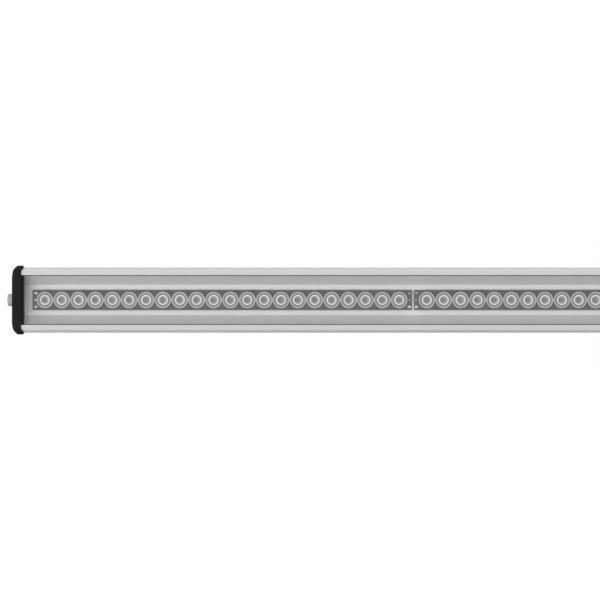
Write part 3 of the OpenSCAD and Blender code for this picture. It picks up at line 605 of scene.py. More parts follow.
def renewed(node: str, name: str, edge: float, body: Body, finish: Finish,
            segments: int = 2, softness: int = 0) -> None:
    """Puts a piece of a node's own shape, with its edges rounded, in the node's place."""
    settle(refined(node, name, edge, segments, softness), body, finish, [node])


def placed(mesh: bpy.types.Mesh, crease: float, finish: Finish, stands_for: Sequence[str] = ()) -> None:
    """Smooths a mesh up to a crease angle and settles it on the lamp."""
    smooth(mesh, crease)
    settle(linked(mesh.name, mesh), Body.LAMP, finish, stands_for)


def arc(centre: Point2, radius: float, start: float, end: float, steps: int = 10) -> list[Point2]:
    """Points on an arc, with its angles in degrees.

    Args:
        centre: The centre.
        radius: The radius.
        start: The angle of the first point.
        end: The angle of the last point.
        steps: The number of steps between them.

    Returns:
        The points.
    """
    turns = [math.radians(start + (end - start) * i / steps) for i in range(steps + 1)]
    return [(centre[0] + radius * math.cos(a), centre[1] + radius * math.sin(a)) for a in turns]


def mirrored(points: Sequence[Point2]) -> list[Point2]:
    """The upper half of an outline, followed by its mirror image below."""
    return [*points, *[(depth, -height) for depth, height in reversed(points)]]


def banded(rings: int, count: int) -> list[list[int]]:
    """The faces of a closed skin through rings of points.

    Args:
        rings: The number of rings.
        count: The number of points in each ring.

    Returns:
        The faces, with the two ends last.
    """
    faces = [[i * count + k, i * count + (k + 1) % count, (i + 1) * count + (k + 1) % count,
              (i + 1) * count + k] for i in range(rings - 1) for k in range(count)]
    return [*faces, list(range(count))[::-1], [(rings - 1) * count + k for k in range(count)]]


def loft(name: str, rings: Sequence[Sequence[Vector]]) -> bpy.types.Mesh:
    """A closed skin through rings of as many points each, from one end to the other."""
    return mesh_of(name, [p for ring in rings for p in ring], banded(len(rings), len(rings[0])))


def prism(name: str, outline: Sequence[Point2], x0: float, x1: float) -> bpy.types.Mesh:
    """An outline in Y and Z, drawn out along X."""
    return loft(name, [[Vector((x, y, z)) for y, z in outline] for x in (x0, x1)])


def spin(profile: Sequence[Point2], place: Matrix, steps: int) -> Part:
    """A closed outline of radius and height turned round an axis.

    Args:
        profile: The outline, from the axis at one end to the axis at the other.
        place: Where the axis stands, with the height along its Z.
        steps: The number of steps round it.

    Returns:
        The points and the faces.
    """
    points: list[Vector] = []
    rings: list[list[int]] = []
    for radius, height in profile:
        turns = range(steps) if radius > 0 else range(1)
        rings.append([len(points) + k for k in turns])
        for k in turns:
            a = 2 * math.pi * k / steps
            points.append(place @ Vector((radius * math.cos(a), radius * math.sin(a), height)))
    faces = []
    for low, high in zip(rings, rings[1:]):
        for k in range(steps):
            corners = [low[k % len(low)], low[(k + 1) % len(low)],
                       high[(k + 1) % len(high)], high[k % len(high)]]
            faces.append(list(dict.fromkeys(corners)))
    return points, [f for f in faces if len(f) > 2]


def tube(path: Sequence[Vector], radius: float, sides: int = 16) -> Part:
    """A round wire along a path that lies near the plane of X and Z.

    Args:
        path: The points that it follows.
        radius: Its radius.
        sides: The number of points round it.

    Returns:
        The points and the faces.
    """
    points: list[Vector] = []
    for i, p in enumerate(path):
        along = (path[min(i + 1, len(path) - 1)] - path[max(i - 1, 0)]).normalized()
        side = along.cross(Vector((0, 1, 0))).normalized()
        up = side.cross(along)
        for k in range(sides):
            a = 2 * math.pi * k / sides
            points.append(p + radius * (math.cos(a) * side + math.sin(a) * up))
    return points, banded(len(path), sides)


def gathered(name: str, parts: Iterable[Part]) -> bpy.types.Mesh:
    """One mesh from the points and faces of several parts."""
    points: list[Vector] = []
    faces: list[list[int]] = []
    for some, these in parts:
        faces += [[i + len(points) for i in face] for face in these]
        points += some
    return mesh_of(name, points, faces)


def carved(name: str, solid: bpy.types.Mesh, cutters: Sequence[bpy.types.Mesh],
           added: Sequence[bpy.types.Mesh] = ()) -> bpy.types.Mesh:
    """A solid with other solids cut from it, and some added after that.

    Args:
        name: The new mesh's name.
        solid: What is cut.
        cutters: What is cut from it.
        added: What is joined to it.

    Returns:
        The new mesh.
    """
    piece = linked("carving", solid)
    helpers = []
    for kind, meshes in (("DIFFERENCE", cutters), ("UNION", added)):
        for mesh in meshes:
            helper = linked("cutter", mesh)
            helpers.append(helper)
            cut = piece.modifiers.new("cut", "BOOLEAN")
            cut.operation = kind
            cut.solver = "EXACT"
            cut.object = helper
    bpy.context.view_layer.update()
    graph = bpy.context.evaluated_depsgraph_get()
    result = bpy.data.meshes.new_from_object(piece.evaluated_get(graph))
    result.name = name
    for helper in (piece, *helpers):
        spent = helper.data
        bpy.data.objects.remove(helper)
        bpy.data.meshes.remove(spent)
    return result


class Frame:
    """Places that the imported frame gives."""

    @staticmethod
    def low(node: str) -> Vector:
        """A node's lowest corner."""
        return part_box(node)[0]

    @staticmethod
    def high(node: str) -> Vector:
        """A node's highest corner."""
        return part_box(node)[1]

    @staticmethod
    def middle(node: str) -> Vector:
        """The middle of a node's box."""
        low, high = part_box(node)
        return (low + high) / 2


@dataclass
class Housing:
    """The extruded profile that everything in the lamp is built into."""

    edge: float = 0.22 * MM
    floor_margin: float = 0.1 * MM
    facing: float = 0.9
    rail: float = 16.0 * MM
    rear: float = 3.0 * MM

    def outer_edges(self, mesh: bpy.types.Mesh) -> None:
        """Marks the edges to be rounded: those of the rails, the sides and the back.

        Args:
            mesh: The profile.
        """
        back = Frame.high("housing").y - self.rear
        marks = mesh.attributes.new("bevel_weight_edge", "FLOAT", "EDGE")
        for i, line in enumerate(mesh.edges):
            start, end = (mesh.vertices[k].co for k in line.vertices)
            outside = min(abs(start.z), abs(end.z)) > self.rail or min(start.y, end.y) > back
            marks.data[i].value = float(outside)

    def build(self) -> None:
        """Makes the profile, with its ends chamfered, and gives the channel's slopes and ledges a rougher,
        less metallic aluminium whose lighter colour is painted light against the channel's shade.
        """
        piece = refined("housing", "housing_profile", 0)
        self.outer_edges(piece.data)
        bevel(piece, self.edge)
        piece.modifiers["edge"].limit_method = "WEIGHT"
        settle(piece, Body.LAMP, Finishes.PROFILE, ["housing"])
        piece.data.materials.append(Finishes.SLOPE.material())
        piece.data.materials.append(Finishes.LEDGE.material())
        tape = Frame.high("thermal_tape_left")
        glass = Frame.low("front_glass")
        # Faces inside the channel get the lighter copies of the aluminium, painted light against the
        # channel's shade.
        for face in piece.data.polygons:
            depth, height = face.center.y, abs(face.center.z)
            if glass.y < depth < tape.y + self.floor_margin and height < -glass.z:
                face.material_index = 2 if face.normal.y < -self.facing else 1


@dataclass
class FrontGlazing:
    """The front glass and the silicone along its two long edges."""

    glass_edge: float = 0.3 * MM
    bead_edge: float = 0.15 * MM

    def build(self) -> None:
        """Makes the pane and both beads."""
        renewed("front_glass", "front_glass_pane", self.glass_edge, Body.LAMP, Finishes.GLASS)
        for place in ("upper", "lower"):
            renewed(f"glass_seal_{place}", f"glazing_bead_{place}", self.bead_edge,
                    Body.LAMP, Finishes.SILICONE)


@dataclass
class EndCap:
    """A moulded cap that laps over one end of the housing."""

    side: Side
    rim: float = 1.175 * MM
    back_rim: float = 0.3 * MM
    lap: float = 1.6 * MM
    lap_depth: float = 26.0 * MM
    round_length: float = 3.5 * MM
    round_height: float = 6.2 * MM
    round_depth: float = 1.6 * MM
    rounding: Sequence[Point2] = (
        (0.0, 1.0), (0.03, 0.86), (0.09, 0.71), (0.19, 0.5), (0.29, 0.39), (0.46, 0.28),
        (0.66, 0.17), (0.85, 0.07), (0.94, 0.02), (1.0, 0.0))
    front_corner: float = 2.6 * MM
    back_corner: float = 1.5 * MM
    corner_loss: float = 0.3
    clearance: float = 0.05 * MM
    plug: float = 1.6 * MM
    plug_gap: float = 0.15 * MM
    screw_bore: float = 1.9 * MM
    screw_inset: float = 3.3 * MM
    head_bore: float = 3.5 * MM
    head_seat: float = 2.0 * MM
    vent_bore: float = 3.05 * MM
    vent_seat: float = 0.8 * MM
    gland_bore: float = 6.05 * MM
    bore_sides: int = 48
    glass_lap: float = 2.2 * MM
    mouth_step: float = 0.4 * MM
    ledge_reach: float = 3.2 * MM
    edge: float = 0.2 * MM
    screw_edge: float = 0.15 * MM
    crease: float = 28.0
    edge_turn: float = 38.0
    overrun: float = 1.0 * MM
    half_length: float = field(init=False)
    end: float = field(init=False)
    front: float = field(init=False)
    back: float = field(init=False)
    half_height: float = field(init=False)

    def __post_init__(self) -> None:
        """Takes the housing's and the cap's places from the frame."""
        low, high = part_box("housing")
        self.half_length, self.half_height = high.x, high.z
        self.front, self.back = low.y, high.y
        self.end = -Frame.low("end_cap_left").x

    def outline(self, grow: float) -> list[Point2]:
        """The housing's outline in Y and Z, moved outwards.

        Args:
            grow: The distance outwards.

        Returns:
            The points, in order.
        """
        front, back = self.front_corner, self.back_corner
        return mirrored([
            *arc((self.front + front, self.half_height - front), front + grow, 180, 90),
            *arc((self.back - back, self.half_height - back), back + grow, 90, 0)])

    def section(self, share: float) -> list[Point2]:
        """The cap's own outline where its rounding has drawn it in.

        Args:
            share: The share of the whole rounding that it is drawn in by.

        Returns:
            The points, in order.
        """
        drop = self.round_height * share
        front_top = self.half_height + self.rim - drop
        back_top = self.half_height + self.back_rim - drop + (self.rim - self.back_rim) * share
        front = self.front - self.rim + self.round_depth * share
        back = self.back + self.back_rim - self.round_depth * share
        front_r = (self.front_corner + self.rim) * (1 - self.corner_loss * share)
        back_r = (self.back_corner + self.back_rim) * (1 - self.corner_loss * share)
        return mirrored([
            *arc((front + front_r, front_top - front_r), front_r, 180, 90),
            *arc((back - back_r, back_top - back_r), back_r, 90, 0)])

    def skin(self) -> bpy.types.Mesh:
        """The cap's outer form: a rounded end and a straight skirt.

        Returns:
            The solid, from the end of the cap to the edge of its lap.
        """
        rings = []
        for along, share in self.rounding:
            x = -self.end + self.round_length * along
            rings.append([Vector((x, y, z)) for y, z in self.section(share)])
        rim_x = self.lap - self.half_length
        rings.append([Vector((rim_x, y, z)) for y, z in self.section(0)])
        return loft("cap_skin", rings)

    def trimmings(self) -> list[bpy.types.Mesh]:
        """What is cut off the skirt, so that the lap runs out towards the rails and the back.

        Returns:
            The cutters: one over the rails and one behind them.
        """
        face, tip = -self.half_length, self.lap - self.half_length
        inner, tall = tip + self.overrun, 2 * self.half_height
        before, start = self.front - 2 * self.rim, self.front + self.front_corner
        behind, top = self.back + 2 * self.rim, self.half_height
        rail = top - self.front_corner
        front = [(face, -rail), (tip, -top), (inner, -top), (inner, top), (tip, top), (face, rail)]
        rear = [(tip, start), (inner, start), (inner, behind), (face, behind),
                (face, self.front + self.lap_depth)]
        return [loft("front_trimming", [[Vector((x, y, z)) for x, z in front] for y in (before, start)]),
                loft("rear_trimming", [[Vector((x, y, z)) for x, y in rear] for z in (-tall, tall)])]

    def channel(self) -> list[Point2]:
        """The outline of the plug that closes the housing's front channel.

        Returns:
            The points, in order.
        """
        rail = Frame.high("front_glass").z - self.glass_lap
        ledge = Frame.high("led_board_left").z + self.ledge_reach
        return mirrored([
            (self.front, rail - self.plug_gap),
            (Frame.high("glass_seal_upper").y, rail - self.mouth_step - self.plug_gap),
            (Frame.low("led_board_left").y - self.plug_gap, ledge - self.plug_gap)])

    def bore(self, y: float, z: float, radius: float, x0: float, x1: float) -> bpy.types.Mesh:
        """A round cutter along X."""
        last = 360 - 360 / self.bore_sides
        return prism("bore", arc((y, z), radius, 0, last, self.bore_sides - 1), x0, x1)

    def build(self) -> None:
        """Makes the cap, its bores and its plug, and mirrors them for the right end."""
        outer, inner = -self.end - self.overrun, self.lap - self.half_length + self.overrun
        face = -self.half_length
        cutters = [*self.trimmings(), prism("pocket", self.outline(self.clearance), face, inner)]
        for screw in self.screws():
            cutters.append(self.bore(*screw, self.screw_bore, outer, face + self.overrun))
            cutters.append(self.bore(*screw, self.head_bore, outer, face - self.head_seat))
        axis = Frame.middle("vent_plug")
        left = self.side is Side.LEFT
        hole = self.vent_bore if left else self.gland_bore
        cutters.append(self.bore(axis.y, axis.z, hole, outer, face + self.overrun))
        if left:
            seal = Frame.high("vent_seal").z
            cutters.append(self.bore(axis.y, axis.z, seal, outer, self.vent_seat - self.end))
        plug = prism("plug", self.channel(), face - self.overrun, face + self.plug)
        mesh = carved(f"end_cap_{self.side.word}_moulding", self.skin(), cutters, [plug])
        if not left:
            mesh.transform(Matrix.Scale(-1, 4, Vector((1, 0, 0))))
            mesh.flip_normals()
        smooth(mesh, self.crease)
        piece = linked(mesh.name, mesh)
        bevel(piece, self.edge, 2, self.edge_turn)
        settle(piece, Body.LAMP, Finishes.CAP, [f"end_cap_{self.side.word}"])
        self.dress_joint()

    def screws(self) -> list[Point2]:
        """Where the four cap screws stand, in Y and Z.

        Returns:
            The places.
        """
        low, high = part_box("cap_screws_left")
        inset = self.screw_inset
        return [(y, z) for y in (low.y + inset, high.y - inset) for z in (low.z + inset, high.z - inset)]

    def dress_joint(self) -> None:
        """Makes the cap's screws and dresses the gasket behind it."""
        word = self.side.word
        renewed(f"cap_screws_{word}", f"socket_screws_{word}", self.screw_edge, Body.LAMP, Finishes.STEEL)
        dress(f"cap_gasket_{word}", Finishes.SILICONE)


@dataclass
class VentPlug:
    """The pressure vent in the left cap."""

    edge: float = 0.5 * MM

    def build(self) -> None:
        """Makes the plug and dresses its seal."""
        renewed("vent_plug", "pressure_vent", self.edge, Body.LAMP, Finishes.VENT)
        dress("vent_seal", Finishes.RUBBER)


@dataclass
class CableGland:
    """The gland in the right cap that the supply cable goes into."""

    edge: float = 0.3 * MM

    def build(self) -> None:
        """Makes the body, the nut and the insert, and dresses the seal."""
        for node, name, finish in (("gland_body", "gland_hexagon", Finishes.GLAND),
                                   ("gland_nut", "gland_cap_nut", Finishes.GLAND),
                                   ("gland_insert", "gland_rubber", Finishes.RUBBER)):
            renewed(node, name, self.edge, Body.LAMP, finish)
        dress("gland_seal", Finishes.RUBBER)


@dataclass
class LensStrip:
    """The moulded strip of collimating lenses over one board.

    Four tables give the section of one lens, with radii as shares of the lens's own radius. Beside
    them stand millimetres over the floor for the well, behind the front for the rim and over the
    board for the foot, and shares of the lens's height for the cone.
    """

    side: Side
    count: int = 22
    pitch: float = 11.04 * MM
    radius: float = 5.5 * MM
    height: float = 6.0 * MM
    well_depth: float = 3.7 * MM
    well: Sequence[Point2] = (
        (0.0, 0.2), (0.1, 0.17), (0.17, 0.08), (0.21, 0.0), (0.24, 0.1), (0.33, 1.3), (0.41, 2.7))
    rim: Sequence[Point2] = (
        (0.45, 0.3), (0.47, 0.12), (0.49, 0.02), (0.52, 0.0), (0.55, 0.02), (0.58, 0.12), (0.64, 0.34),
        (0.7, 0.4), (0.78, 0.38), (0.82, 0.12), (0.85, 0.02), (0.96, 0.0), (0.99, 0.06), (1.0, 0.16),
        (1.0, 0.72), (0.985, 0.8), (0.92, 0.86))
    cone: Sequence[Point2] = ((0.86, 0.62), (0.77, 0.38), (0.66, 0.2))
    foot: Sequence[Point2] = ((0.6, 0.8), (0.6, 0.0), (0.43, 0.0), (0.43, 1.9), (0.0, 1.9))
    neck_reach: float = 0.16
    neck_width: float = 2.4 * MM
    neck_thickness: float = 0.8 * MM
    steps: int = 56
    crease: float = 40.0

    def profile(self) -> list[Point2]:
        """Half the section of one lens, from the middle of its front to the middle of its back.

        Returns:
            Radii and heights above the board.
        """
        r, h = self.radius, self.height
        floor = h - self.well_depth
        return [*[(a * r, floor + b * MM) for a, b in self.well],
                *[(a * r, h - b * MM) for a, b in self.rim],
                *[(a * r, b * h) for a, b in self.cone],
                *[(a * r, b * MM) for a, b in self.foot]]

    def build(self) -> None:
        """Makes the lenses and the necks between them, and marks each point's zone."""
        node = f"lens_strip_{self.side.word}"
        middle, face = Frame.middle(node).x, Frame.low(f"led_board_{self.side.word}").y
        first = middle - self.pitch * (self.count - 1) / 2
        centres = [first + i * self.pitch for i in range(self.count)]
        profile = self.profile()
        lenses = [spin(profile, Matrix.Translation((x, face, 0)) @ FORWARD, self.steps) for x in centres]
        necks = [self.neck(x + self.pitch / 2, face - self.height) for x in centres[:-1]]
        mesh = gathered(f"lenses_{self.side.word}", [*lenses, *necks])
        self.mark_zones(mesh, centres)
        placed(mesh, self.crease, Finishes.LENS, [node])

    def neck(self, x: float, front: float) -> Part:
        """The bridge between two lenses.

        Args:
            x: The middle of the bridge.
            front: The lenses' front.

        Returns:
            The points and the faces.
        """
        half_l, half_w, t = self.neck_reach * self.radius, self.neck_width / 2, self.neck_thickness
        chamfer = t / 4
        rings = [(front + t, 0.0), (front + chamfer, 0.0), (front, chamfer)]
        points = [Vector((x + sx * (half_l - inset), y, sz * (half_w - inset)))
                  for y, inset in rings for sx, sz in ((-1, -1), (1, -1), (1, 1), (-1, 1))]
        return points, banded(len(rings), 4)

    def mark_zones(self, mesh: bpy.types.Mesh, centres: Sequence[float]) -> None:
        """Writes each point's distance from its lens's axis, as a share of the radius.

        Args:
            mesh: The strip.
            centres: The lens axes' places along X.
        """
        marks = mesh.attributes.new(LensPlastic.zone_name, "FLOAT", "POINT")
        for i, vertex in enumerate(mesh.vertices):
            x, _, z = vertex.co
            axis = min(centres, key=lambda c: abs(c - x))
            marks.data[i].value = min(math.hypot(x - axis, z) / self.radius, 1.0)


@dataclass
class LedModule:
    """One board with its LEDs, lenses, pads and tape."""

    side: Side
    edge: float = 0.08 * MM

    def build(self) -> None:
        """Makes the lenses and the board, and dresses what lies under them."""
        LensStrip(self.side).build()
        word = self.side.word
        renewed(f"led_board_{word}", f"led_circuit_board_{word}", self.edge, Body.LAMP, Finishes.BOARD, 1)
        dress(f"led_chips_{word}", Finishes.PHOSPHOR)
        dress(f"thermal_tape_{word}", Finishes.SILICONE)


@dataclass
class BoardWiring:
    """Pads, joints and wires on the two boards."""

    pad_half_length: float = 1.0 * MM
    pad_half_width: float = 0.74 * MM
    pad_height: float = 0.09 * MM
    pad_crown: Sequence[Point2] = ((0.0, 0.0), (0.6, 0.02), (0.9, 0.12), (1.0, 0.4))
    pad_corner: float = 0.7
    corner_steps: int = 5
    joint_radius: float = 0.9 * MM
    joint_height: float = 0.75 * MM
    joint_base: float = 0.1 * MM
    joint_dome: Sequence[Point2] = (
        (0.0, 1.0), (0.2, 0.97), (0.4, 0.86), (0.56, 0.66), (0.68, 0.4), (0.8, 0.18),
        (0.92, 0.05), (1.0, 0.0), (0.0, 0.0))
    joint_steps: int = 28
    wire_radius: float = 0.27 * MM
    wire_arch: float = 0.12 * MM
    wire_slant: float = 0.25 * MM
    wire_end: float = 0.3 * MM
    wire_steps: int = 12
    outer_inset: float = 2.15 * MM
    inner_inset: float = 1.65 * MM
    joint_inset: float = 1.45 * MM
    lead_inset: float = 0.5 * MM
    pad_row: float = 4.43 * MM
    link_rows: Sequence[tuple[int, Point2]] = ((0, (0.55, 0.65)), (1, (0.95, 0.55)))
    pad_crease: float = 40.0
    crease: float = 50.0

    def pad_places(self) -> list[Point2]:
        """Where the pads lie, in X and Z.

        Returns:
            The places, board by board and end by end.
        """
        places = []
        for side in Side:
            low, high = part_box(f"led_board_{side.word}")
            insets = [self.outer_inset, self.inner_inset]
            if side is Side.RIGHT:
                insets.reverse()
            for x in (low.x + insets[0], high.x - insets[1]):
                places += [(x, row * self.pad_row) for row in (-1, 0, 1)]
        return places

    def pad(self, x: float, face: float, z: float, size: Point2 = (1.0, 1.0)) -> Part:
        """A plated pad with round corners and a slight crown.

        Args:
            x: The middle of the pad.
            face: The face of the board.
            z: The middle of the pad.
            size: Its length and width, as shares of the usual ones.

        Returns:
            The points and the faces.
        """
        half_length, half_width = self.pad_half_length * size[0], self.pad_half_width * size[1]
        corner = self.pad_corner * min(half_length, half_width)
        points: list[Vector] = []
        for lift, inset in self.pad_crown:
            for k, (sx, sz) in enumerate(((1, 1), (-1, 1), (-1, -1), (1, -1))):
                middle = x + sx * (half_length - corner), z + sz * (half_width - corner)
                for px, pz in arc(middle, corner * (1 - inset), 90 * k, 90 * k + 90, self.corner_steps):
                    points.append(Vector((px, face - lift * self.pad_height, pz)))
        return points, banded(len(self.pad_crown), 4 * (self.corner_steps + 1))

    def joint(self, x: float, face: float, z: float, size: float = 1.0) -> Part:
        """A fillet of solder: a small dome with a drawn-out foot.

        Args:
            x: The middle of the joint.
            face: The face of the board.
            z: The middle of the joint.
            size: A share of the usual size.

        Returns:
            The points and the faces.
        """
        r, h = self.joint_radius * size, self.joint_height * size
        place = Matrix.Translation((x, face - self.joint_base, z)) @ FORWARD
        return spin([(r * a, h * b) for a, b in self.joint_dome], place, self.joint_steps)

    def wire(self, start: Vector, end: Vector) -> Part:
        """A bare wire that arches over the gap between the boards.

        Args:
            start: Its end on the left board.
            end: Its end on the right board.

        Returns:
            The points and the faces.
        """
        path = []
        for i in range(self.wire_steps + 1):
            t = i / self.wire_steps
            path.append(start.lerp(end, t) + Vector((0, -self.wire_arch * math.sin(math.pi * t), 0)))
        return tube(path, self.wire_radius)

    def build(self) -> None:
        """Makes the pads, the two links at the middle and the leads at the right end."""
        face = Frame.low("led_board_left").y
        edges = Frame.high("led_board_left").x, Frame.low("led_board_right").x
        left, right = edges[0] - self.joint_inset, edges[1] + self.joint_inset
        linked_ends = edges[0] - self.inner_inset, edges[1] + self.inner_inset
        bare = [(x, z) for x, z in self.pad_places() if x not in linked_ends or z < 0]
        placed(gathered("plated_pads", [self.pad(x, face, z) for x, z in bare]),
               self.pad_crease, Finishes.PADS, ["solder_pads"])

        over = face - self.joint_base - self.wire_radius
        wires, joints = [], []
        for row, size in self.link_rows:
            slant = row * self.wire_slant
            z = row * self.pad_row
            wires.append(self.wire(Vector((left - self.wire_end, over, z - slant)),
                                   Vector((right + self.wire_end, over, z + slant))))
            for x, tilt in ((left, -slant), (right, slant)):
                joints.append(self.pad(x, face, z + tilt, size))
                joints.append(self.joint(x, face, z + tilt, size[1]))
        placed(gathered("board_links", wires), self.crease, Finishes.LINKS, ["link_wires"])
        placed(gathered("link_joints", joints), self.crease, Finishes.SOLDER)

        outer = Frame.high("led_board_right").x - self.outer_inset - self.lead_inset
        ends = [self.joint(outer, face, row * self.pad_row) for row in (-1, 1)]
        placed(gathered("lead_joints", ends), self.crease, Finishes.SOLDER)
        renewed("supply_leads", "sleeved_leads", 0, Body.LAMP, Finishes.LEADS, softness=1)
        dress("lead_grommet", Finishes.RUBBER)


class Driver:
    """The driver in the chamber behind the channel, which the housing hides."""

    DRESS: ClassVar[dict[str, Finish]] = {
        "driver_tray": Finishes.TRAY,
        "driver_board": Finishes.DRIVER_BOARD,
        "driver_screws": Finishes.STEEL,
        "driver_terminals": Finishes.TERMINAL,
        "input_fuse": Finishes.GLAND,
        "smoothing_capacitors": Finishes.SLEEVE,
        "power_inductors": Finishes.FERRITE,
        "power_transistors": Finishes.PACKAGE,
        "driver_controller": Finishes.PACKAGE,
        "protection_diode": Finishes.PACKAGE}

    def build(self) -> None:
        """Dresses each of the driver's pieces."""
        for node, finish in self.DRESS.items():
            dress(node, finish)


@dataclass
class Mounting:
    """The wall brackets, their pivots and the clamps that hold the lamp's rear slot."""

    sheet_edge: float = 0.4 * MM
    cast_edge: float = 0.5 * MM
    bolt_edge: float = 0.3 * MM

    def build(self) -> None:
        """Makes every piece of the mounting, body by body."""
        for side in Side:
            word = side.word
            renewed(f"wall_bracket_{word}", f"bent_bracket_{word}", self.sheet_edge,
                    Body.BRACKETS, Finishes.BRACKET, 3)
            renewed(f"clamp_shoe_{word}", f"cast_shoe_{word}", self.cast_edge,
                    Body.CLAMPS, Finishes.CAST, 3)
        for node, name, body in (("pivot_bolts", "hexagon_bolts", Body.BRACKETS),
                                 ("pivot_washers", "flat_washers", Body.BRACKETS),
                                 ("pivot_nuts", "hexagon_nuts", Body.BRACKETS),
                                 ("slot_nuts", "slot_nut_bars", Body.CLAMPS),
                                 ("clamp_screws", "button_screws", Body.CLAMPS)):
            renewed(node, name, self.bolt_edge, body, Finishes.STEEL)


@dataclass
class SoftLight:
    """A soft rectangular light that points at a place near the lamp."""

    name: str
    place: Sequence[float]
    aim: Sequence[float]
    width: float
    height: float
    power: float

    def build(self) -> None:
        """Makes the light and turns it to what it points at."""
        lamp = bpy.data.lights.new(self.name, "AREA")
        lamp.shape = "RECTANGLE"
        lamp.size, lamp.size_y, lamp.energy = self.width, self.height, self.power
        holder = bpy.data.objects.new(self.name, lamp)
        holder.location = self.place
        aim = Vector(self.aim) - Vector(self.place)
        holder.rotation_euler = aim.to_track_quat("-Z", "Y").to_euler()
        bpy.context.scene.collection.objects.link(holder)


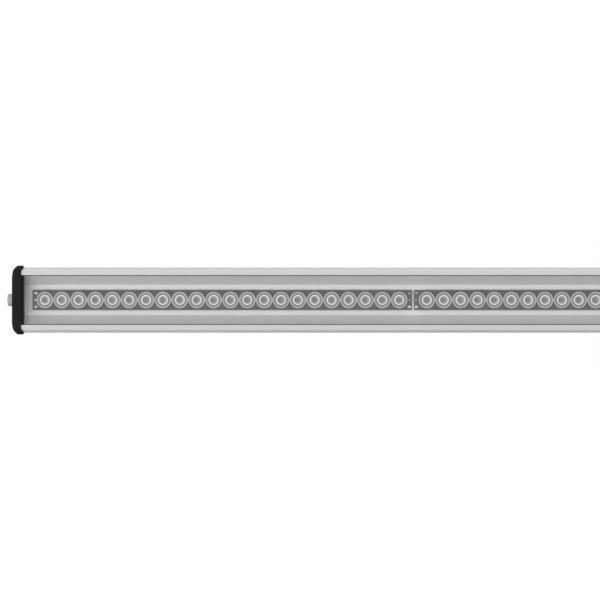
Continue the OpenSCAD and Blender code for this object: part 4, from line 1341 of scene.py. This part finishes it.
@dataclass
class Studio:
    """The floor, the soft lights and the white surroundings.

    Sky gives the light by height, from straight below to straight above, and front gives it by
    how near it comes to the direction ahead, from behind to dead ahead.
    """

    floor_drop: float = 0.30
    floor_half: float = 1.2
    fade_start: float = 0.55
    fade_end: float = 1.1
    floor_colour: Colour = (0.92, 0.92, 0.92)
    floor_bounce: float = 0.35
    up: Sequence[float] = (0.0, 0.0, 1.0)
    sky: Sequence[Point2] = ((0.0, 0.15), (0.4, 0.32), (0.48, 0.44), (0.6, 0.52), (0.75, 0.54), (1.0, 0.5))
    ahead: Sequence[float] = (-0.34, -0.88, -0.33)
    front: Sequence[Point2] = ((0.0, 0.0), (0.91, 0.0), (0.96, 0.4), (0.985, 0.9), (1.0, 1.0))
    front_strength: float = 4.35
    lights: Sequence[SoftLight] = (
        SoftLight("key_softbox", (-0.1, -1.2, 1.0), (0.0, -0.06, 0.0), 2.2, 0.2, 3.0),
        SoftLight("rear_softbox", (0.3, 1.5, 1.3), (0.0, 0.0, 0.0), 1.6, 1.0, 6.0))

    def build(self) -> None:
        """Makes the floor, the world and the lights."""
        self.floor()
        self.world()
        for light in self.lights:
            light.build()

    def floor(self) -> None:
        """A pale floor that keeps the shadow and fades to white at its edge."""
        half, z = self.floor_half, -self.floor_drop
        corners = [(-half, -half, z), (half, -half, z), (half, half, z), (-half, half, z)]
        floor = linked("studio_floor", mesh_of("studio_floor", corners, [[0, 1, 2, 3]]))
        graph = Graph("pale_floor")
        pale = graph.ramp(graph.noise(graph.place, scale=40.0), [
            (0.3, shade(self.floor_colour, 0.99)), (0.7, self.floor_colour)])
        dim = (*shade(self.floor_colour, self.floor_bounce), 1.0)
        shown = graph.add("Mix", {"Factor": graph.seen_rays(), "A": dim, "B": pale}, data_type="RGBA")
        graph.set(Base_Color=shown.outputs["Result"], Roughness=0.7, Specular_IOR_Level=0.2)
        reach = graph.add("VectorMath", {0: graph.place}, operation="LENGTH").outputs["Value"]
        fade = graph.between(reach, 0.0, 1.0, self.fade_start, self.fade_end)
        below = graph.add("NewGeometry").outputs["Backfacing"]
        edge = graph.add("MixShader", {
            "Fac": graph.combine("MAXIMUM", fade, below),
            1: graph.surface.outputs["BSDF"],
            2: graph.add("BsdfTransparent").outputs["BSDF"]})
        graph.fill(graph.output, {"Surface": edge.outputs["Shader"]})
        floor.data.materials.append(graph.material)

    @staticmethod
    def glow(tree: Tree, axis: Sequence[float], stops: Sequence[Point2], strength: float) -> Socket:
        """Light that changes with how near its direction comes to an axis.

        Args:
            tree: The world's nodes.
            axis: The axis.
            stops: The light from against the axis to along it.
            strength: What that light is multiplied by.

        Returns:
            The light's colour.
        """
        place = tree.add("TexCoord").outputs["Generated"]
        facing = tree.add("VectorMath", {0: place, 1: axis}, operation="DOT_PRODUCT").outputs["Value"]
        colour = tree.ramp(tree.between(facing, 0.0, 1.0, -1.0, 1.0), greys(stops))
        return tree.add("VectorMath", {0: colour, "Scale": strength}, operation="SCALE").outputs["Vector"]

    def world(self) -> None:
        """Surroundings that are white to look at, and shine from above and from the front, low and left."""
        world = bpy.data.worlds.new("studio_world")
        bpy.context.scene.world = world
        world.use_nodes = True
        tree = Tree(world.node_tree)
        both = tree.add("Mix", {
            "Factor": 1.0,
            "A": self.glow(tree, self.up, self.sky, 1.0),
            "B": self.glow(tree, self.ahead, self.front, self.front_strength)},
            data_type="RGBA", blend_type="ADD")
        mix = tree.add("MixShader", {
            "Fac": tree.seen_rays(),
            1: tree.add("Background", {"Color": both.outputs["Result"]}).outputs["Background"],
            2: tree.add("Background", {"Color": (1.0, 1.0, 1.0, 1.0)}).outputs["Background"]})
        tree.add("OutputWorld", {"Surface": mix.outputs["Shader"]})


@dataclass
class PhotoCamera:
    """The camera where the photograph was taken from."""

    image_side: float = 600.0
    sensor: float = 36.0
    pixels_per_metre: float = 1528.6
    board_joint_px: float = 413.1
    distance: float = 2.9

    def build(self) -> None:
        """Stands the camera square to the lamp, before the middle of the picture."""
        lens_plane = Frame.low("lens_strip_left").y
        along = (self.image_side / 2 - self.board_joint_px) / self.pixels_per_metre
        camera = bpy.data.cameras.new("photo_camera")
        camera.sensor_width = self.sensor
        camera.lens = self.sensor * self.pixels_per_metre * self.distance / self.image_side
        camera.clip_end = 50.0
        holder = bpy.data.objects.new("photo_camera", camera)
        holder.location = (along, lens_plane - self.distance, 0.0)
        holder.rotation_euler = (math.radians(90), 0.0, 0.0)
        bpy.context.scene.collection.objects.link(holder)
        bpy.context.scene.camera = holder


def main() -> None:
    """Builds the lamp over its frame, piece by piece."""
    logging.basicConfig(level=logging.INFO, format="%(name)s %(message)s")
    bpy.context.scene.view_settings.view_transform = "Standard"
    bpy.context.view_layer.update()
    PhotoCamera().build()
    Studio().build()
    assemblies = [
        Housing(), FrontGlazing(), EndCap(Side.LEFT), EndCap(Side.RIGHT), VentPlug(), CableGland(),
        LedModule(Side.LEFT), LedModule(Side.RIGHT), BoardWiring(), Driver(), Mounting()]
    for assembly in assemblies:
        assembly.build()
        LOG.info("%s done", type(assembly).__name__)


if __name__ == "__main__":
    main()
